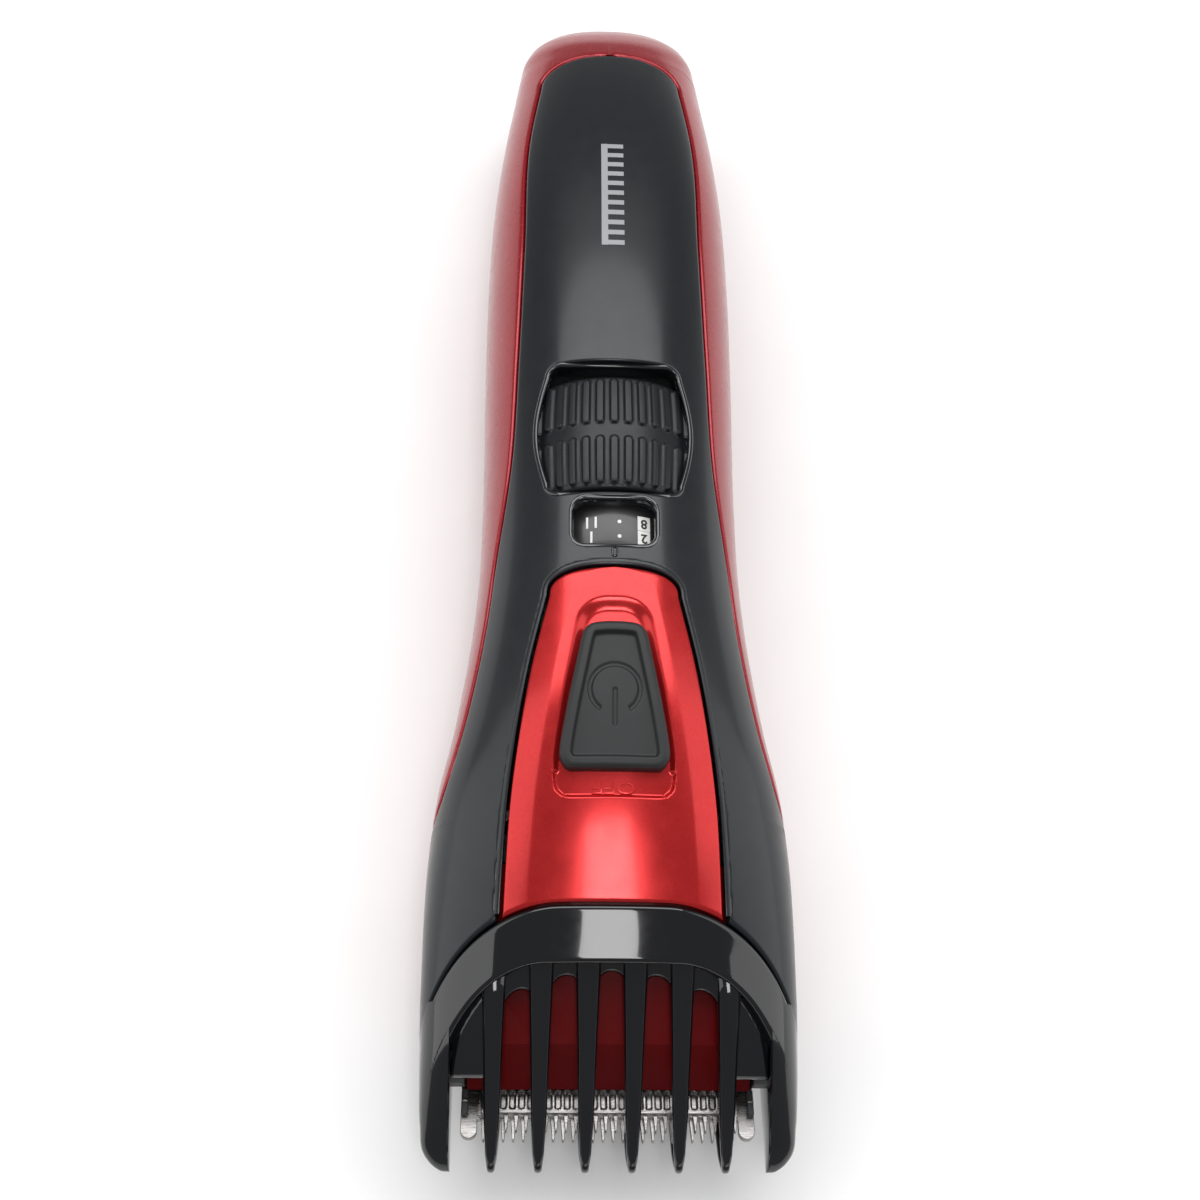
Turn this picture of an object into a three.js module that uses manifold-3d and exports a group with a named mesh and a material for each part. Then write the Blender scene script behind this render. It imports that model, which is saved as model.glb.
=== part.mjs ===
// Cordless hair clipper with a slide-on guide comb, a zoom wheel that sets the comb and a slide switch.
// Millimetres, +Z up. The clipper lies on the flat of its lower housing, blades towards -Y and switch up.
// The pieces are modelled with y = 0 at the middle of the wheel opening; the exported group is then centred.
import * as THREE from "three";
import { mergeVertices } from "three/addons/utils/BufferGeometryUtils.js";
import Module from "manifold-3d";

const wasm = await Module();
wasm.setup();

// ---------------------------------------------------------------- driving dimensions
const HEAD_LENGTH = 100.5; // comb tips to the middle of the wheel opening
const HANDLE_LENGTH = 89.5; // middle of the wheel opening to the butt
const HEAD_WIDTH = 51; // over the guide comb
const HANDLE_WIDTH = 38.8; // over the grip
const BUTT_WIDTH = 32.4; // near the end of the handle
const BODY_TOP = 37.5; // top of the cover above the resting face
const MID_HEIGHT = 18; // height of the widest line, where cover and housing part at the head
const SEAM = 0.3; // gap between pieces that meet face to face
const RUNNING = 0.4; // clearance round turning and sliding pieces
const SECTION_POWER = 2.25; // how square the body's cross-section is
const RING_POINTS = 32; // points round a body section

const COMB_WALL = 1.6; // thickness of the comb's hood
const HOOD_DEPTH = 7.2; // length of the comb's hoop along the body
const HOOP_BACK = 24.5; // comb tips back to the hoop's front edge
const NOSE_BACK = 10.3; // comb tips back to the front of the nose
const BLADE_BACK = 3.7; // comb tips back to the blades' tips
const MOTOR_BACK = 67.5; // comb tips back to the motor's rear end, so that the drive stays with the blades
const BEAM_BACK = 40.5; // comb tips back to the carrier's cross arms
const TOOTH_PITCH = 6.2;
const TOOTH_COUNT = 6; // between the two outer teeth
const TOOTH_TIP = 1.3; // width of a tooth at its tip
const TOOTH_ROOT = 3.3; // and where it leaves the hoop
const COMB_TRAVEL = 12; // how far the wheel pushes the comb out

const BLADE_WIDTH = 39.4;
const BLADE_LENGTH = 18.8;
const FIXED_THICK = 1;
const MOVING_THICK = 0.9;
const BLADE_PITCH = 1.33;
const BLADE_TEETH = 26;
const BLADE_TILT = 15; // degrees by which the skin plane falls back towards the handle

const WHEEL_RADIUS = 16;
const WHEEL_LENGTH = 18.6;
const WHEEL_RIBS = 48;
const AXIS_HEIGHT = 22; // of the wheel's axis
const WHEEL_TURN = 240; // degrees, from the shortest setting to the longest
const WHEEL_BORE = 12.5;
const BARREL_RADIUS = 10.6; // of the frame's barrel inside the wheel

const MOTOR_RADIUS = 8.5;
const MOTOR_LENGTH = 25;
const MOTOR_HEIGHT = 16; // of the motor's axis
const SHAFT_RADIUS = 1;
const CAM_RADIUS = 1.9;
const CAM_THROW = 0.9;
const YOKE_REAR = 10; // from the yoke's pivot back to the cam
const YOKE_FRONT = 14; // and forward to the moving blade
const CELL_RADIUS = 7;
const CELL_LENGTH = 48;
const SCREW_RADIUS = 1.2;
const SWITCH_TRAVEL = 3;

// ---------------------------------------------------------------- places worked out from them
const tip = -HEAD_LENGTH;
const butt = HANDLE_LENGTH;
const headHalf = HEAD_WIDTH / 2;
const handleHalf = HANDLE_WIDTH / 2;
const buttHalf = BUTT_WIDTH / 2;
const combFit = COMB_WALL + RUNNING; // from the outer form in to the nose
const wall = combFit - SEAM; // of the casings
const noseWall = 1.8;
const hoodFront = tip + HOOP_BACK; // front edge of the comb's hoop, on the centre line
const hoodRear = hoodFront + HOOD_DEPTH;
const noseFront = tip + NOSE_BACK;
const noseRear = hoodRear + 6;
const bladeTip = tip + BLADE_BACK;
const skinAtTip = 13.8; // height of the skin plane at the fixed blade's tips
const innerToothFace = BLADE_WIDTH / 2 + 1.2; // inner face of the comb's outer teeth
const skin = (y) => skinAtTip - (y - bladeTip) * Math.tan(THREE.MathUtils.degToRad(BLADE_TILT));
const deckTop = (y) => 16.4 + (y - tip) * 0.465; // upper edges of the comb's teeth
const deckUnder = (y) => 14.9 + (y - tip) * 0.428;

const wheelFront = -10.2;
const wheelRear = wheelFront + WHEEL_LENGTH;
const drumLength = 10.2;
const openingRear = 11;
const openingFront = -11;
const windowRear = -12.2;
const windowFront = -18.8;
const panelRear = -22.7;
const motorRear = tip + MOTOR_BACK;
const motorFront = motorRear - MOTOR_LENGTH;
const camPlace = motorFront - 5;
const pivotPlace = camPlace - YOKE_REAR;
const drivePlace = pivotPlace - YOKE_FRONT;

// ---------------------------------------------------------------- solids
// A closed geometry as a manifold-3d solid.
function solid(geometry) {
  const bare = geometry.index ? geometry.toNonIndexed() : geometry.clone();
  for (const name of Object.keys(bare.attributes)) if (name !== "position") bare.deleteAttribute(name);
  const merged = mergeVertices(bare, 1e-4);
  const triVerts = new Uint32Array(merged.index.array);
  const vertProperties = merged.attributes.position.array;
  return new wasm.Manifold(new wasm.Mesh({ numProp: 3, vertProperties, triVerts }));
}

function geometryOf(made) {
  const mesh = made.getMesh();
  const geometry = new THREE.BufferGeometry();
  geometry.setAttribute("position", new THREE.BufferAttribute(mesh.vertProperties, mesh.numProp));
  geometry.setIndex(new THREE.BufferAttribute(mesh.triVerts, 1));
  return geometry;
}

const join = (...parts) => parts.reduce((a, b) => a.add(b));
const cut = (whole, ...parts) => parts.reduce((a, b) => a.subtract(b), whole);

// A cut can leave a sliver that hangs on nothing; the piece itself is the largest body.
const largest = (made) => made.decompose().reduce((a, b) => (b.volume() > a.volume() ? b : a));

// A skin over closed rings that run from low y to high y, each ring going from +X to +Z.
function loft(rings) {
  const count = rings[0].length;
  const positions = rings.flat(2);
  const middle = (ring) => [0, 1, 2].map((k) => ring.reduce((sum, p) => sum + p[k], 0) / count);
  positions.push(...middle(rings[0]), ...middle(rings.at(-1)));
  const index = [];
  const first = rings.length * count;
  const last = first - count;
  for (let j = 0; j < count; j++) {
    const next = (j + 1) % count;
    for (let low = 0; low < last; low += count) {
      const [a, b] = [low + j, low + next];
      index.push(a, a + count, b + count, a, b + count, b);
    }
    index.push(first, j, next, first + 1, last + next, last + j);
  }
  const geometry = new THREE.BufferGeometry();
  geometry.setAttribute("position", new THREE.Float32BufferAttribute(positions, 3));
  geometry.setIndex(index);
  return solid(geometry);
}

const shapeOf = (points) => new THREE.Shape(points.map(([u, v]) => new THREE.Vector2(u, v)));
const extrude = (shape, depth) => new THREE.ExtrudeGeometry(shape, { depth, bevelEnabled: false });

// An outline in plan, carried from one height to another.
const prism = (points, low, high) => solid(extrude(shapeOf(points), high - low).translate(0, 0, low));

// An outline in the y-z plane, carried across from one x to another.
function sideways(points, left, right) {
  const turn = new THREE.Matrix4().makeBasis(
    new THREE.Vector3(0, 1, 0),
    new THREE.Vector3(0, 0, 1),
    new THREE.Vector3(1, 0, 0),
  );
  return solid(extrude(shapeOf(points), right - left).applyMatrix4(turn).translate(left, 0, 0));
}

function box([x0, x1], [y0, y1], [z0, z1]) {
  const made = new THREE.BoxGeometry(x1 - x0, y1 - y0, z1 - z0);
  return solid(made.translate((x0 + x1) / 2, (y0 + y1) / 2, (z0 + z1) / 2));
}

// A round bar along y between two places.
function barY(radius, from, to, { x = 0, z = AXIS_HEIGHT, sides = 32 } = {}) {
  return solid(new THREE.CylinderGeometry(radius, radius, to - from, sides).translate(x, (from + to) / 2, z));
}

function barZ(radius, low, high, x, y, sides = 16) {
  const made = new THREE.CylinderGeometry(radius, radius, high - low, sides).rotateX(Math.PI / 2);
  return solid(made.translate(x, y, (low + high) / 2));
}

const tubeY = (outer, inner, from, to, place) =>
  barY(outer, from, to, place).subtract(barY(inner, from - 1, to + 1, place));

// Both copies of a piece that stands on the +X side.
const both = (made) => join(made, made.mirror([1, 0, 0]));

// ---------------------------------------------------------------- the body's outer form
// Place along the body, half width, top, bottom, height of the widest line and squareness of the underside.
const FORM = [
  [tip, headHalf - 2.9, 16.8, 13.2, 14.9, 5],
  [tip + 2, headHalf - 1.2, 19, 12.5, 15.3, 5],
  [tip + 5.5, headHalf - 0.5, 22, 11.6, 15.8, 5],
  [tip + 10.5, headHalf - 0.2, 25.7, 10.1, 16.6, 5],
  [tip + 15.5, headHalf - 0.1, 28, 8.6, 17.3, 5],
  [tip + 20.5, headHalf, 28.9, 7.1, 17.8, 5],
  [tip + 24.5, headHalf, 29.5, 6.1, MID_HEIGHT, 5],
  [tip + 31.7, headHalf, 31.3, 4.6, MID_HEIGHT, 4.6],
  [tip + 40.5, headHalf - 0.3, 33.5, 2.6, MID_HEIGHT, 4],
  [tip + 50.5, headHalf - 1.4, 35.3, 1.1, MID_HEIGHT, 3.2],
  [tip + 58, headHalf - 3, 36.4, 0.3, MID_HEIGHT, 2.8],
  [-36, handleHalf + 2, BODY_TOP - 0.6, -0.1, MID_HEIGHT, 2.5],
  [-28, handleHalf + 0.9, BODY_TOP - 0.2, -0.4, MID_HEIGHT, SECTION_POWER],
  [-19, handleHalf + 0.1, BODY_TOP, -0.6, MID_HEIGHT, SECTION_POWER],
  [-6, handleHalf - 0.2, BODY_TOP, -0.6, MID_HEIGHT, SECTION_POWER],
  [15, handleHalf, BODY_TOP - 0.2, -0.6, MID_HEIGHT, SECTION_POWER],
  [34, handleHalf, BODY_TOP - 1, -0.6, MID_HEIGHT, SECTION_POWER],
  [butt - 38, handleHalf - 0.7, 34.8, -0.6, MID_HEIGHT, SECTION_POWER],
  [butt - 26, buttHalf + 1.2, 32.6, -0.1, MID_HEIGHT, SECTION_POWER],
  [butt - 17, buttHalf - 0.1, 30.2, 1.2, MID_HEIGHT, SECTION_POWER],
  [butt - 11.5, buttHalf - 0.9, 28.3, 3, MID_HEIGHT, SECTION_POWER],
  [butt - 7, buttHalf - 1.8, 26.3, 5.4, MID_HEIGHT, SECTION_POWER],
  [butt - 4, buttHalf - 3.6, 24.4, 8, MID_HEIGHT, SECTION_POWER],
  [butt - 1.6, buttHalf - 7, 22.2, 11.5, MID_HEIGHT, SECTION_POWER],
  [butt - 0.4, buttHalf - 11.2, 20.3, 14.6, MID_HEIGHT, SECTION_POWER],
  [butt, buttHalf - 14.7, 18.9, 17, MID_HEIGHT, SECTION_POWER],
];
const formCurve = new THREE.CubicInterpolant(
  FORM.map((row) => row[0]),
  FORM.flatMap((row) => row.slice(1)),
  5,
);

function formAt(y) {
  const [half, top, bottom, mid, square] = formCurve.evaluate(y);
  return { half, top, bottom, mid, square };
}

function ringAt(y, { half, top, bottom, mid, square }) {
  return Array.from({ length: RING_POINTS }, (_, i) => {
    const angle = (2 * Math.PI * i) / RING_POINTS;
    const [c, s] = [Math.cos(angle), Math.sin(angle)];
    const [rise, power] = s > 0 ? [top - mid, 2 / SECTION_POWER] : [mid - bottom, 2 / square];
    const x = half * Math.sign(c) * Math.abs(c) ** power;
    return [x, y, mid + rise * Math.sign(s) * Math.abs(s) ** power];
  });
}

const inset = (form, by) => ({ ...form, half: form.half - by, top: form.top - by, bottom: form.bottom + by });

// The outer form, or one that lies inside it by a given amount, between two places.
function bodyForm(from, to, by = 0) {
  const steps = FORM.map((row) => row[0]).filter((y) => y > from + 0.5 && y < to - 0.5);
  return loft([from, ...steps, to].map((y) => ringAt(y, inset(formAt(y), by))));
}

// Top of the nose, which runs under the comb's hoop and teeth and drops to the blades.
function noseTop(y) {
  const underHoop = formAt(y).top - combFit;
  const underTeeth = deckUnder(y) - RUNNING + 0.9 * Math.max(0, y - hoodFront);
  return Math.min(underHoop, underTeeth, skin(noseFront) + 3.7 + (y - noseFront) * 1.2);
}

// The nose that the comb slides over, grown by a clearance.
function nose(from, to, grow = 0) {
  const steps = FORM.map((row) => row[0]).filter((y) => y > from + 0.5 && y < to - 0.5);
  return loft(
    [from, ...steps, to].map((y) => {
      const section = { ...inset(formAt(y), combFit), top: noseTop(y) };
      return ringAt(y, inset(section, -grow));
    }),
  );
}

// An arch in plan: flat across the middle, then a quarter ellipse down each side, closed far in front.
function archPlan(apex, flat, halfWidth, sweep, far) {
  const right = Array.from({ length: 9 }, (_, i) => {
    const angle = (Math.PI / 2) * (i / 8);
    return [flat + (halfWidth - flat) * Math.sin(angle), apex - sweep * (1 - Math.cos(angle))];
  });
  right.push([halfWidth, far]);
  return [...right, ...right.map(([x, y]) => [-x, y]).reverse()].reverse();
}

const mirrored = (half) => [...half, ...half.map(([x, y]) => [-x, y]).reverse()];

const hoopFlat = 7; // half the flat stretch of the hoop's rear edge
const hoopSweep = 19; // how far that edge sweeps forward down its sides
const frontFlat = 9; // the same two for the hoop's front edge
const frontSweep = 24.4;
const underBack = 9; // how far the underside's edge lies in front of the hoop's
const underFlat = 17;
const underSweep = 8;
const wideEnough = headHalf + 0.6;
const farFront = tip - 6;
// The zone in front of the casings, which the comb fills; "shift" moves its edge back for a gap.
function combZone(shift) {
  const above = prism(archPlan(hoodRear + shift, hoopFlat, wideEnough, hoopSweep, farFront), MID_HEIGHT, 60);
  const below = prism(
    archPlan(hoodRear - underBack + shift, underFlat, wideEnough, underSweep, farFront),
    -10,
    MID_HEIGHT,
  );
  return above.add(below);
}

// Turns a piece made flat over its tips into the blades' tilted plane.
const onBlades = (made) => made.rotate([-BLADE_TILT, 0, 0]).translate([0, bladeTip, skinAtTip]);

// ---------------------------------------------------------------- the casings' shell
const casingFront = noseFront + 3;
const ground = box([-60, 60], [-150, 150], [-20, 0]);
const floorSlab = box([-60, 60], [-150, 150], [-20, wall]);
const wheelWell = barY(WHEEL_RADIUS + RUNNING, wheelFront - RUNNING, wheelRear + RUNNING, { sides: 48 });
const casingOuter = cut(bodyForm(casingFront, butt), combZone(SEAM), ground);
const casingInside = join(bodyForm(casingFront - 2, butt - wall - 0.5, wall).subtract(floorSlab), wheelWell);
const casing = casingOuter.subtract(casingInside);

// ---------------------------------------------------------------- outlines in plan on the cover
const coverEnd = butt - 13.1;
// Half widths of the cover from the head to the rounded end near the butt.
const COVER_HALF = [
  [farFront, headHalf + 2],
  [-64, headHalf + 2],
  [-58, headHalf],
  [-52, headHalf - 2.3],
  [-45, handleHalf + 1.7],
  [-36, handleHalf - 0.3],
  [-28, handleHalf - 1.6],
  [-20, handleHalf - 2.5],
  [-4, handleHalf - 4.5],
  [14, handleHalf - 5.2],
  [34, handleHalf - 5.7],
  [butt - 32, buttHalf - 3],
  [butt - 20, buttHalf - 4.6],
];

function coverPlan(grow) {
  const [lastY, lastX] = COVER_HALF.at(-1);
  const side = COVER_HALF.map(([y, x]) => [x + grow, y]);
  const end = Array.from({ length: 7 }, (_, i) => {
    const angle = (Math.PI / 2) * ((i + 1) / 8);
    return [(lastX + grow) * Math.cos(angle), lastY + (coverEnd + grow - lastY) * Math.sin(angle)];
  });
  return mirrored([...side, ...end]);
}

// Half widths of the panel that is let into the cover: widest towards the blades.
const PANEL_HALF = [
  [farFront, 14.5],
  [-62.5, 14.5],
  [-48, 13.4],
  [-36, 11.6],
  [-25.5, 8.7],
  [-23.6, 7.6],
];
const panelPlan = (grow) =>
  mirrored([...PANEL_HALF.map(([y, x]) => [x + grow, y]), [4 + grow, panelRear + grow]]);

// An opening that is wider in its middle than at its ends.
function barrelPlan(front, rear, endHalf, midHalf) {
  return mirrored(
    Array.from({ length: 7 }, (_, i) => {
      const along = i / 6;
      return [endHalf + (midHalf - endHalf) * Math.sin(Math.PI * along), front + (rear - front) * along];
    }),
  );
}

function roundedBox(halfWidth, front, rear, radius) {
  const corner = (cy, start) =>
    Array.from({ length: 4 }, (_, i) => {
      const angle = start + (Math.PI / 2) * (i / 3);
      return [halfWidth - radius + radius * Math.cos(angle), cy + radius * Math.sin(angle)];
    });
  return mirrored([...corner(front + radius, -Math.PI / 2), ...corner(rear - radius, 0)]);
}

// The switch knob: straight sides that widen towards the blades.
const knobRear = -31.2;
const knobFront = -51.6;
const knobPlan = mirrored([
  [5.9, knobFront],
  [7.3, knobFront + 1.4],
  [6.9, knobFront + 5],
  [4.7, knobRear - 3],
  [3.4, knobRear - 0.8],
  [1.8, knobRear],
]);
const pocketPlan = mirrored([
  [6, knobFront - SWITCH_TRAVEL - 0.6],
  [7.8, knobFront - SWITCH_TRAVEL + 1],
  [7.9, knobFront + 4],
  [6, knobRear - 1],
  [4.4, knobRear + 3],
  [1.5, knobRear + 4.6],
]);
const pocketDeep = 0.9;
const stem = { half: 1.5, front: -43, rear: -39 };

// ---------------------------------------------------------------- fasteners and the bosses that take them
const SCREWS = { front: [15.2, -52], rear: [8.6, butt - 19] };
const screwHead = { radius: 2.5, low: 5, high: 6.6 };
const seatHeight = screwHead.high + 1.6; // top of the housing's screw bosses
const postRadius = 2.4;

function screwHoles(x, y) {
  const seat = barZ(screwHead.radius + RUNNING, -5, screwHead.high + SEAM, x, y);
  return seat.add(barZ(SCREW_RADIUS + SEAM, -5, seatHeight + 1, x, y, 12));
}

// ---------------------------------------------------------------- carrier, comb and nose
const armX = [19.2, 20.6];
const armZ = [15.6, 19.2];
const armFront = noseFront + 0.4;
const lugX = 23.3;
const notchY = casingFront + 3; // the nose's front corners are cut away in front of this
const armChannel = both(
  join(
    box([armX[0] - SEAM, 30], [farFront, hoodFront], [armZ[0] - RUNNING, armZ[1] + RUNNING]),
    box([armX[0] - SEAM, 30], [farFront, notchY], [-5, 40]),
  ),
);
const railX = [BARREL_RADIUS + SEAM, BARREL_RADIUS + 1.5];
const railZ = [AXIS_HEIGHT - 2, AXIS_HEIGHT + 2];
const beamY = [tip + BEAM_BACK, tip + BEAM_BACK + 4];
const followerY = wheelRear - 2.4; // the pin that rides in the wheel's groove, with the comb drawn in
const followerHalf = 0.8;

function combCarrier() {
  const arm = box(armX, [armFront, beamY[1]], armZ);
  const lug = box([armX[0], lugX], [armFront, armFront + 3], armZ);
  const beam = box([railX[0], armX[1]], beamY, armZ);
  const step = box(railX, beamY, [armZ[0], railZ[1]]);
  const rail = box(railX, [beamY[0], followerY + 1], railZ);
  const riser = box(railX, [-30, -26], [railZ[0], 26.2]);
  const bridge = box([-railX[1], railX[1]], [-30, -26], [24.9, 26.2]);
  const [near, far] = [AXIS_HEIGHT - followerHalf, AXIS_HEIGHT + followerHalf];
  const followerSpan = [followerY - followerHalf, followerY + followerHalf];
  const follower = box([railX[0], WHEEL_BORE + 0.7], followerSpan, [near, far]);
  return join(both(join(arm, lug, beam, step, rail, riser)), bridge, follower);
}

const pocketHalf = BLADE_WIDTH / 2 + RUNNING;
const bladePocket = onBlades(box([-pocketHalf, pocketHalf], [-3, 36], [-30, 3.7]));

function headCover() {
  const shell = nose(noseFront, noseRear).subtract(nose(noseFront + noseWall, noseRear + 2, -noseWall));
  return largest(cut(shell, bladePocket, armChannel));
}

// One tooth of the comb from the side: a leg over the blades, a rounded tip and a leg under the blades.
function toothSide() {
  const rear = hoodFront + 5;
  const upper = [rear, hoodFront, tip + 12, tip + 2.5].map((y) => [y, deckTop(y)]);
  const under = [tip + 3, tip + 8, hoodFront, rear].map((y) => [y, formAt(y).bottom + SEAM]);
  const nib = [
    [tip + 0.6, 16.3],
    [tip, 15.4],
    [tip + 0.3, 14.2],
    [tip + 1.2, 13.3],
  ];
  return [...upper, ...nib, ...under].reverse();
}

function tooth(x) {
  const widths = mirrored([
    [TOOTH_TIP / 2, tip - 1],
    [TOOTH_TIP / 2, tip + 1],
    [TOOTH_TIP / 2 + 0.6, tip + 14],
    [TOOTH_ROOT / 2, hoodFront + 6],
  ]);
  return sideways(toothSide(), -6, 6).intersect(prism(widths, 0, 60)).translate([x, 0, 0]);
}

function guideComb() {
  const shell = bodyForm(tip, hoodRear, 0).subtract(bodyForm(tip - 2, hoodRear + 2, COMB_WALL));
  const toothPlan = archPlan(hoodFront, frontFlat, headHalf - 0.3, frontSweep, farFront);
  const inFront = prism(toothPlan, MID_HEIGHT - 3, 60);
  const underBar = prism(archPlan(tip + 17.5, 17, wideEnough + 2, 3, farFront), -10, MID_HEIGHT - 3);
  const hoop = cut(shell, inFront, underBar);
  const betweenPlates = box([-innerToothFace, innerToothFace], [-150, 0], [-9, 60]);
  const plates = bodyForm(tip, hoodFront, 0).subtract(betweenPlates);
  const toothPlace = (i) => (i - (TOOTH_COUNT - 1) / 2) * TOOTH_PITCH;
  const teeth = Array.from({ length: TOOTH_COUNT }, (_, i) => tooth(toothPlace(i)));
  const bladeRoom = onBlades(
    box([-BLADE_WIDTH / 2 - 0.8, BLADE_WIDTH / 2 + 0.8], [-0.9, 36], [-RUNNING, 6.5]),
  );
  const armRoom = both(
    box([armX[0] - 1, lugX + SEAM], [armFront - SEAM, 0], [armZ[0] - RUNNING, armZ[1] + RUNNING]),
  );
  const whole = join(hoop, plates, ...teeth).intersect(combZone(0));
  return largest(cut(whole, nose(noseFront - 0.5, hoodRear + 2, RUNNING), bladeRoom, armRoom));
}

// ---------------------------------------------------------------- blades and their drive
// A plate with a row of cutting teeth along its front edge, lying over its tips.
function bladePlate(width, front, rear, rootDepth, gap, low, high) {
  const toothed = (BLADE_TEETH * BLADE_PITCH) / 2;
  const edge = [];
  for (let i = 1; i < BLADE_TEETH; i++) {
    const x = -toothed + i * BLADE_PITCH;
    edge.push([x - gap / 2, front], [x - gap / 2 + 0.1, front + rootDepth]);
    edge.push([x + gap / 2 - 0.1, front + rootDepth], [x + gap / 2, front]);
  }
  const outline = [[-width / 2, rear], [-width / 2, front + 0.8], [-width / 2 + 0.8, front], ...edge];
  outline.push([width / 2 - 0.8, front], [width / 2, front + 0.8], [width / 2, rear]);
  return prism(outline, low, high);
}

const movingLow = FIXED_THICK + 0.08;
const movingHigh = movingLow + MOVING_THICK;
const bladeScrew = { x: 14, along: 16 };
const seatDeep = 0.55; // of the screw heads in the fixed blade
const baseFront = 13.2;
const baseRear = 31;
const baseLow = movingLow + 0.3;
const baseHigh = 3.4;
const driveAlong = (drivePlace - bladeTip) / Math.cos(THREE.MathUtils.degToRad(BLADE_TILT));
const fingerRadius = 1;

function fixedBlade() {
  const plate = bladePlate(BLADE_WIDTH, 0, BLADE_LENGTH, 5, 0.5, 0, FIXED_THICK);
  const holes = both(barZ(SCREW_RADIUS + SEAM, -1, 3, bladeScrew.x, bladeScrew.along, 12));
  const seats = both(barZ(2 + SEAM, -1, seatDeep, bladeScrew.x, bladeScrew.along, 20));
  const window = box([-8, 8], [8.5, 12], [-1, 3]);
  return onBlades(cut(plate, holes, seats, window));
}

function movingBlade() {
  const width = BLADE_TEETH * BLADE_PITCH + 1.2;
  const plate = bladePlate(width, 0.9, baseFront - 0.8, 3.4, 0.55, movingLow, movingHigh);
  const notch = fingerRadius + 0.15;
  return onBlades(cut(plate, box([-notch, notch], [driveAlong - 2, driveAlong + 2], [0, 4])));
}

function bladeBase() {
  const half = BLADE_WIDTH / 2;
  const plate = box([-half, half], [baseFront, BLADE_LENGTH], [FIXED_THICK + 0.05, baseHigh]);
  const tail = box([-12.5, 12.5], [BLADE_LENGTH - 1, baseRear], [baseLow, baseHigh]);
  const screwBores = both(barZ(SCREW_RADIUS + 0.1, 0, 9, bladeScrew.x, bladeScrew.along, 12));
  const made = onBlades(join(plate, tail).subtract(screwBores));
  return made.subtract(barZ(SCREW_RADIUS + SEAM, 0, 30, 0, pivotPlace, 12));
}

// A screw that enters from the skin side of the fixed blade.
function bladeScrewAt(side) {
  const head = barZ(2, -0.2, seatDeep - 0.05, side * bladeScrew.x, bladeScrew.along, 20);
  const place = [side * bladeScrew.x, bladeScrew.along, 0];
  const slot = box([-2.5, 2.5], [-0.25, 0.25], [-1, 0.05]).translate(place);
  const shank = barZ(SCREW_RADIUS, 0, baseHigh - 0.4, side * bladeScrew.x, bladeScrew.along, 12);
  return onBlades(cut(join(head, shank), slot));
}

// A leaf that leans on the moving blade and keeps it down on the fixed one.
function bladeSpring(side) {
  const leaf = sideways(
    [
      [baseFront + 5, baseHigh + 0.1],
      [baseFront + 5, baseHigh + 0.5],
      [baseFront - 0.6, baseHigh + 0.5],
      [baseFront - 5.2, movingHigh + 0.55],
      [baseFront - 5.4, movingHigh + 0.12],
      [baseFront - 0.4, baseHigh + 0.1],
    ],
    side * 8 - 1.6,
    side * 8 + 1.6,
  );
  return onBlades(leaf);
}

const yokeLow = MOTOR_HEIGHT - 2;
const yokeHigh = MOTOR_HEIGHT;
const forkHalf = CAM_RADIUS + 2 * CAM_THROW + SEAM; // inside the fork, clear of the turning cam

function driveYoke() {
  const prong = box([forkHalf, forkHalf + 1.4], [camPlace - 3, camPlace + 1.8], [yokeLow, MOTOR_HEIGHT + 2]);
  const web = box([-forkHalf - 1.4, forkHalf + 1.4], [camPlace - 4.5, camPlace - 3], [yokeLow, yokeHigh]);
  const hub = barZ(3, yokeLow, yokeHigh, 0, pivotPlace, 24);
  const bar = box([-1.6, 1.6], [drivePlace - 1, camPlace - 3.5], [yokeLow, yokeHigh]);
  const fingerLow = skin(drivePlace) + movingLow + 0.5;
  const finger = barZ(fingerRadius, fingerLow, yokeHigh, 0, drivePlace, 16);
  return cut(join(both(prong), web, hub, bar, finger), barZ(SCREW_RADIUS + SEAM, 0, 40, 0, pivotPlace, 12));
}

function pivotPin() {
  const low = skin(pivotPlace) + baseLow + 0.3;
  const shank = barZ(SCREW_RADIUS, low, yokeHigh + 0.8, 0, pivotPlace, 12);
  return shank.add(barZ(2.2, yokeHigh + SEAM, yokeHigh + 1.1, 0, pivotPlace, 16));
}

// ---------------------------------------------------------------- motor
const motorAxis = { z: MOTOR_HEIGHT };

function motorCan() {
  const can = barY(MOTOR_RADIUS, motorFront, motorRear, motorAxis);
  const nib = barY(3, motorFront - 1, motorFront + 1, { ...motorAxis, sides: 20 });
  const bore = barY(SHAFT_RADIUS + SEAM, motorFront - 2, motorRear - 4, { ...motorAxis, sides: 16 });
  return cut(join(can, nib), bore);
}

const motorShaft = () => barY(SHAFT_RADIUS, camPlace - 2, motorRear - 5, { ...motorAxis, sides: 16 });

function eccentricCam() {
  const disc = barY(CAM_RADIUS, camPlace - 1.6, camPlace + 1.6, { ...motorAxis, x: CAM_THROW, sides: 24 });
  return disc.subtract(barY(SHAFT_RADIUS + 0.02, camPlace - 3, camPlace + 3, { ...motorAxis, sides: 16 }));
}

const endCap = () => barY(MOTOR_RADIUS - 1, motorRear + SEAM, motorRear + 2.2, { ...motorAxis, sides: 24 });

function motorBracket() {
  const face = box([-10.2, 10.2], [motorFront - 2.5, motorFront - 1.2], [5.6, 24.2]);
  const base = box([-8.5, 8.5], [motorFront - 2.5, motorRear], [5.6, 7]);
  const bore = barY(SHAFT_RADIUS + 1, motorFront - 4, motorFront, { ...motorAxis, sides: 16 });
  return join(face, base).subtract(bore);
}

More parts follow.
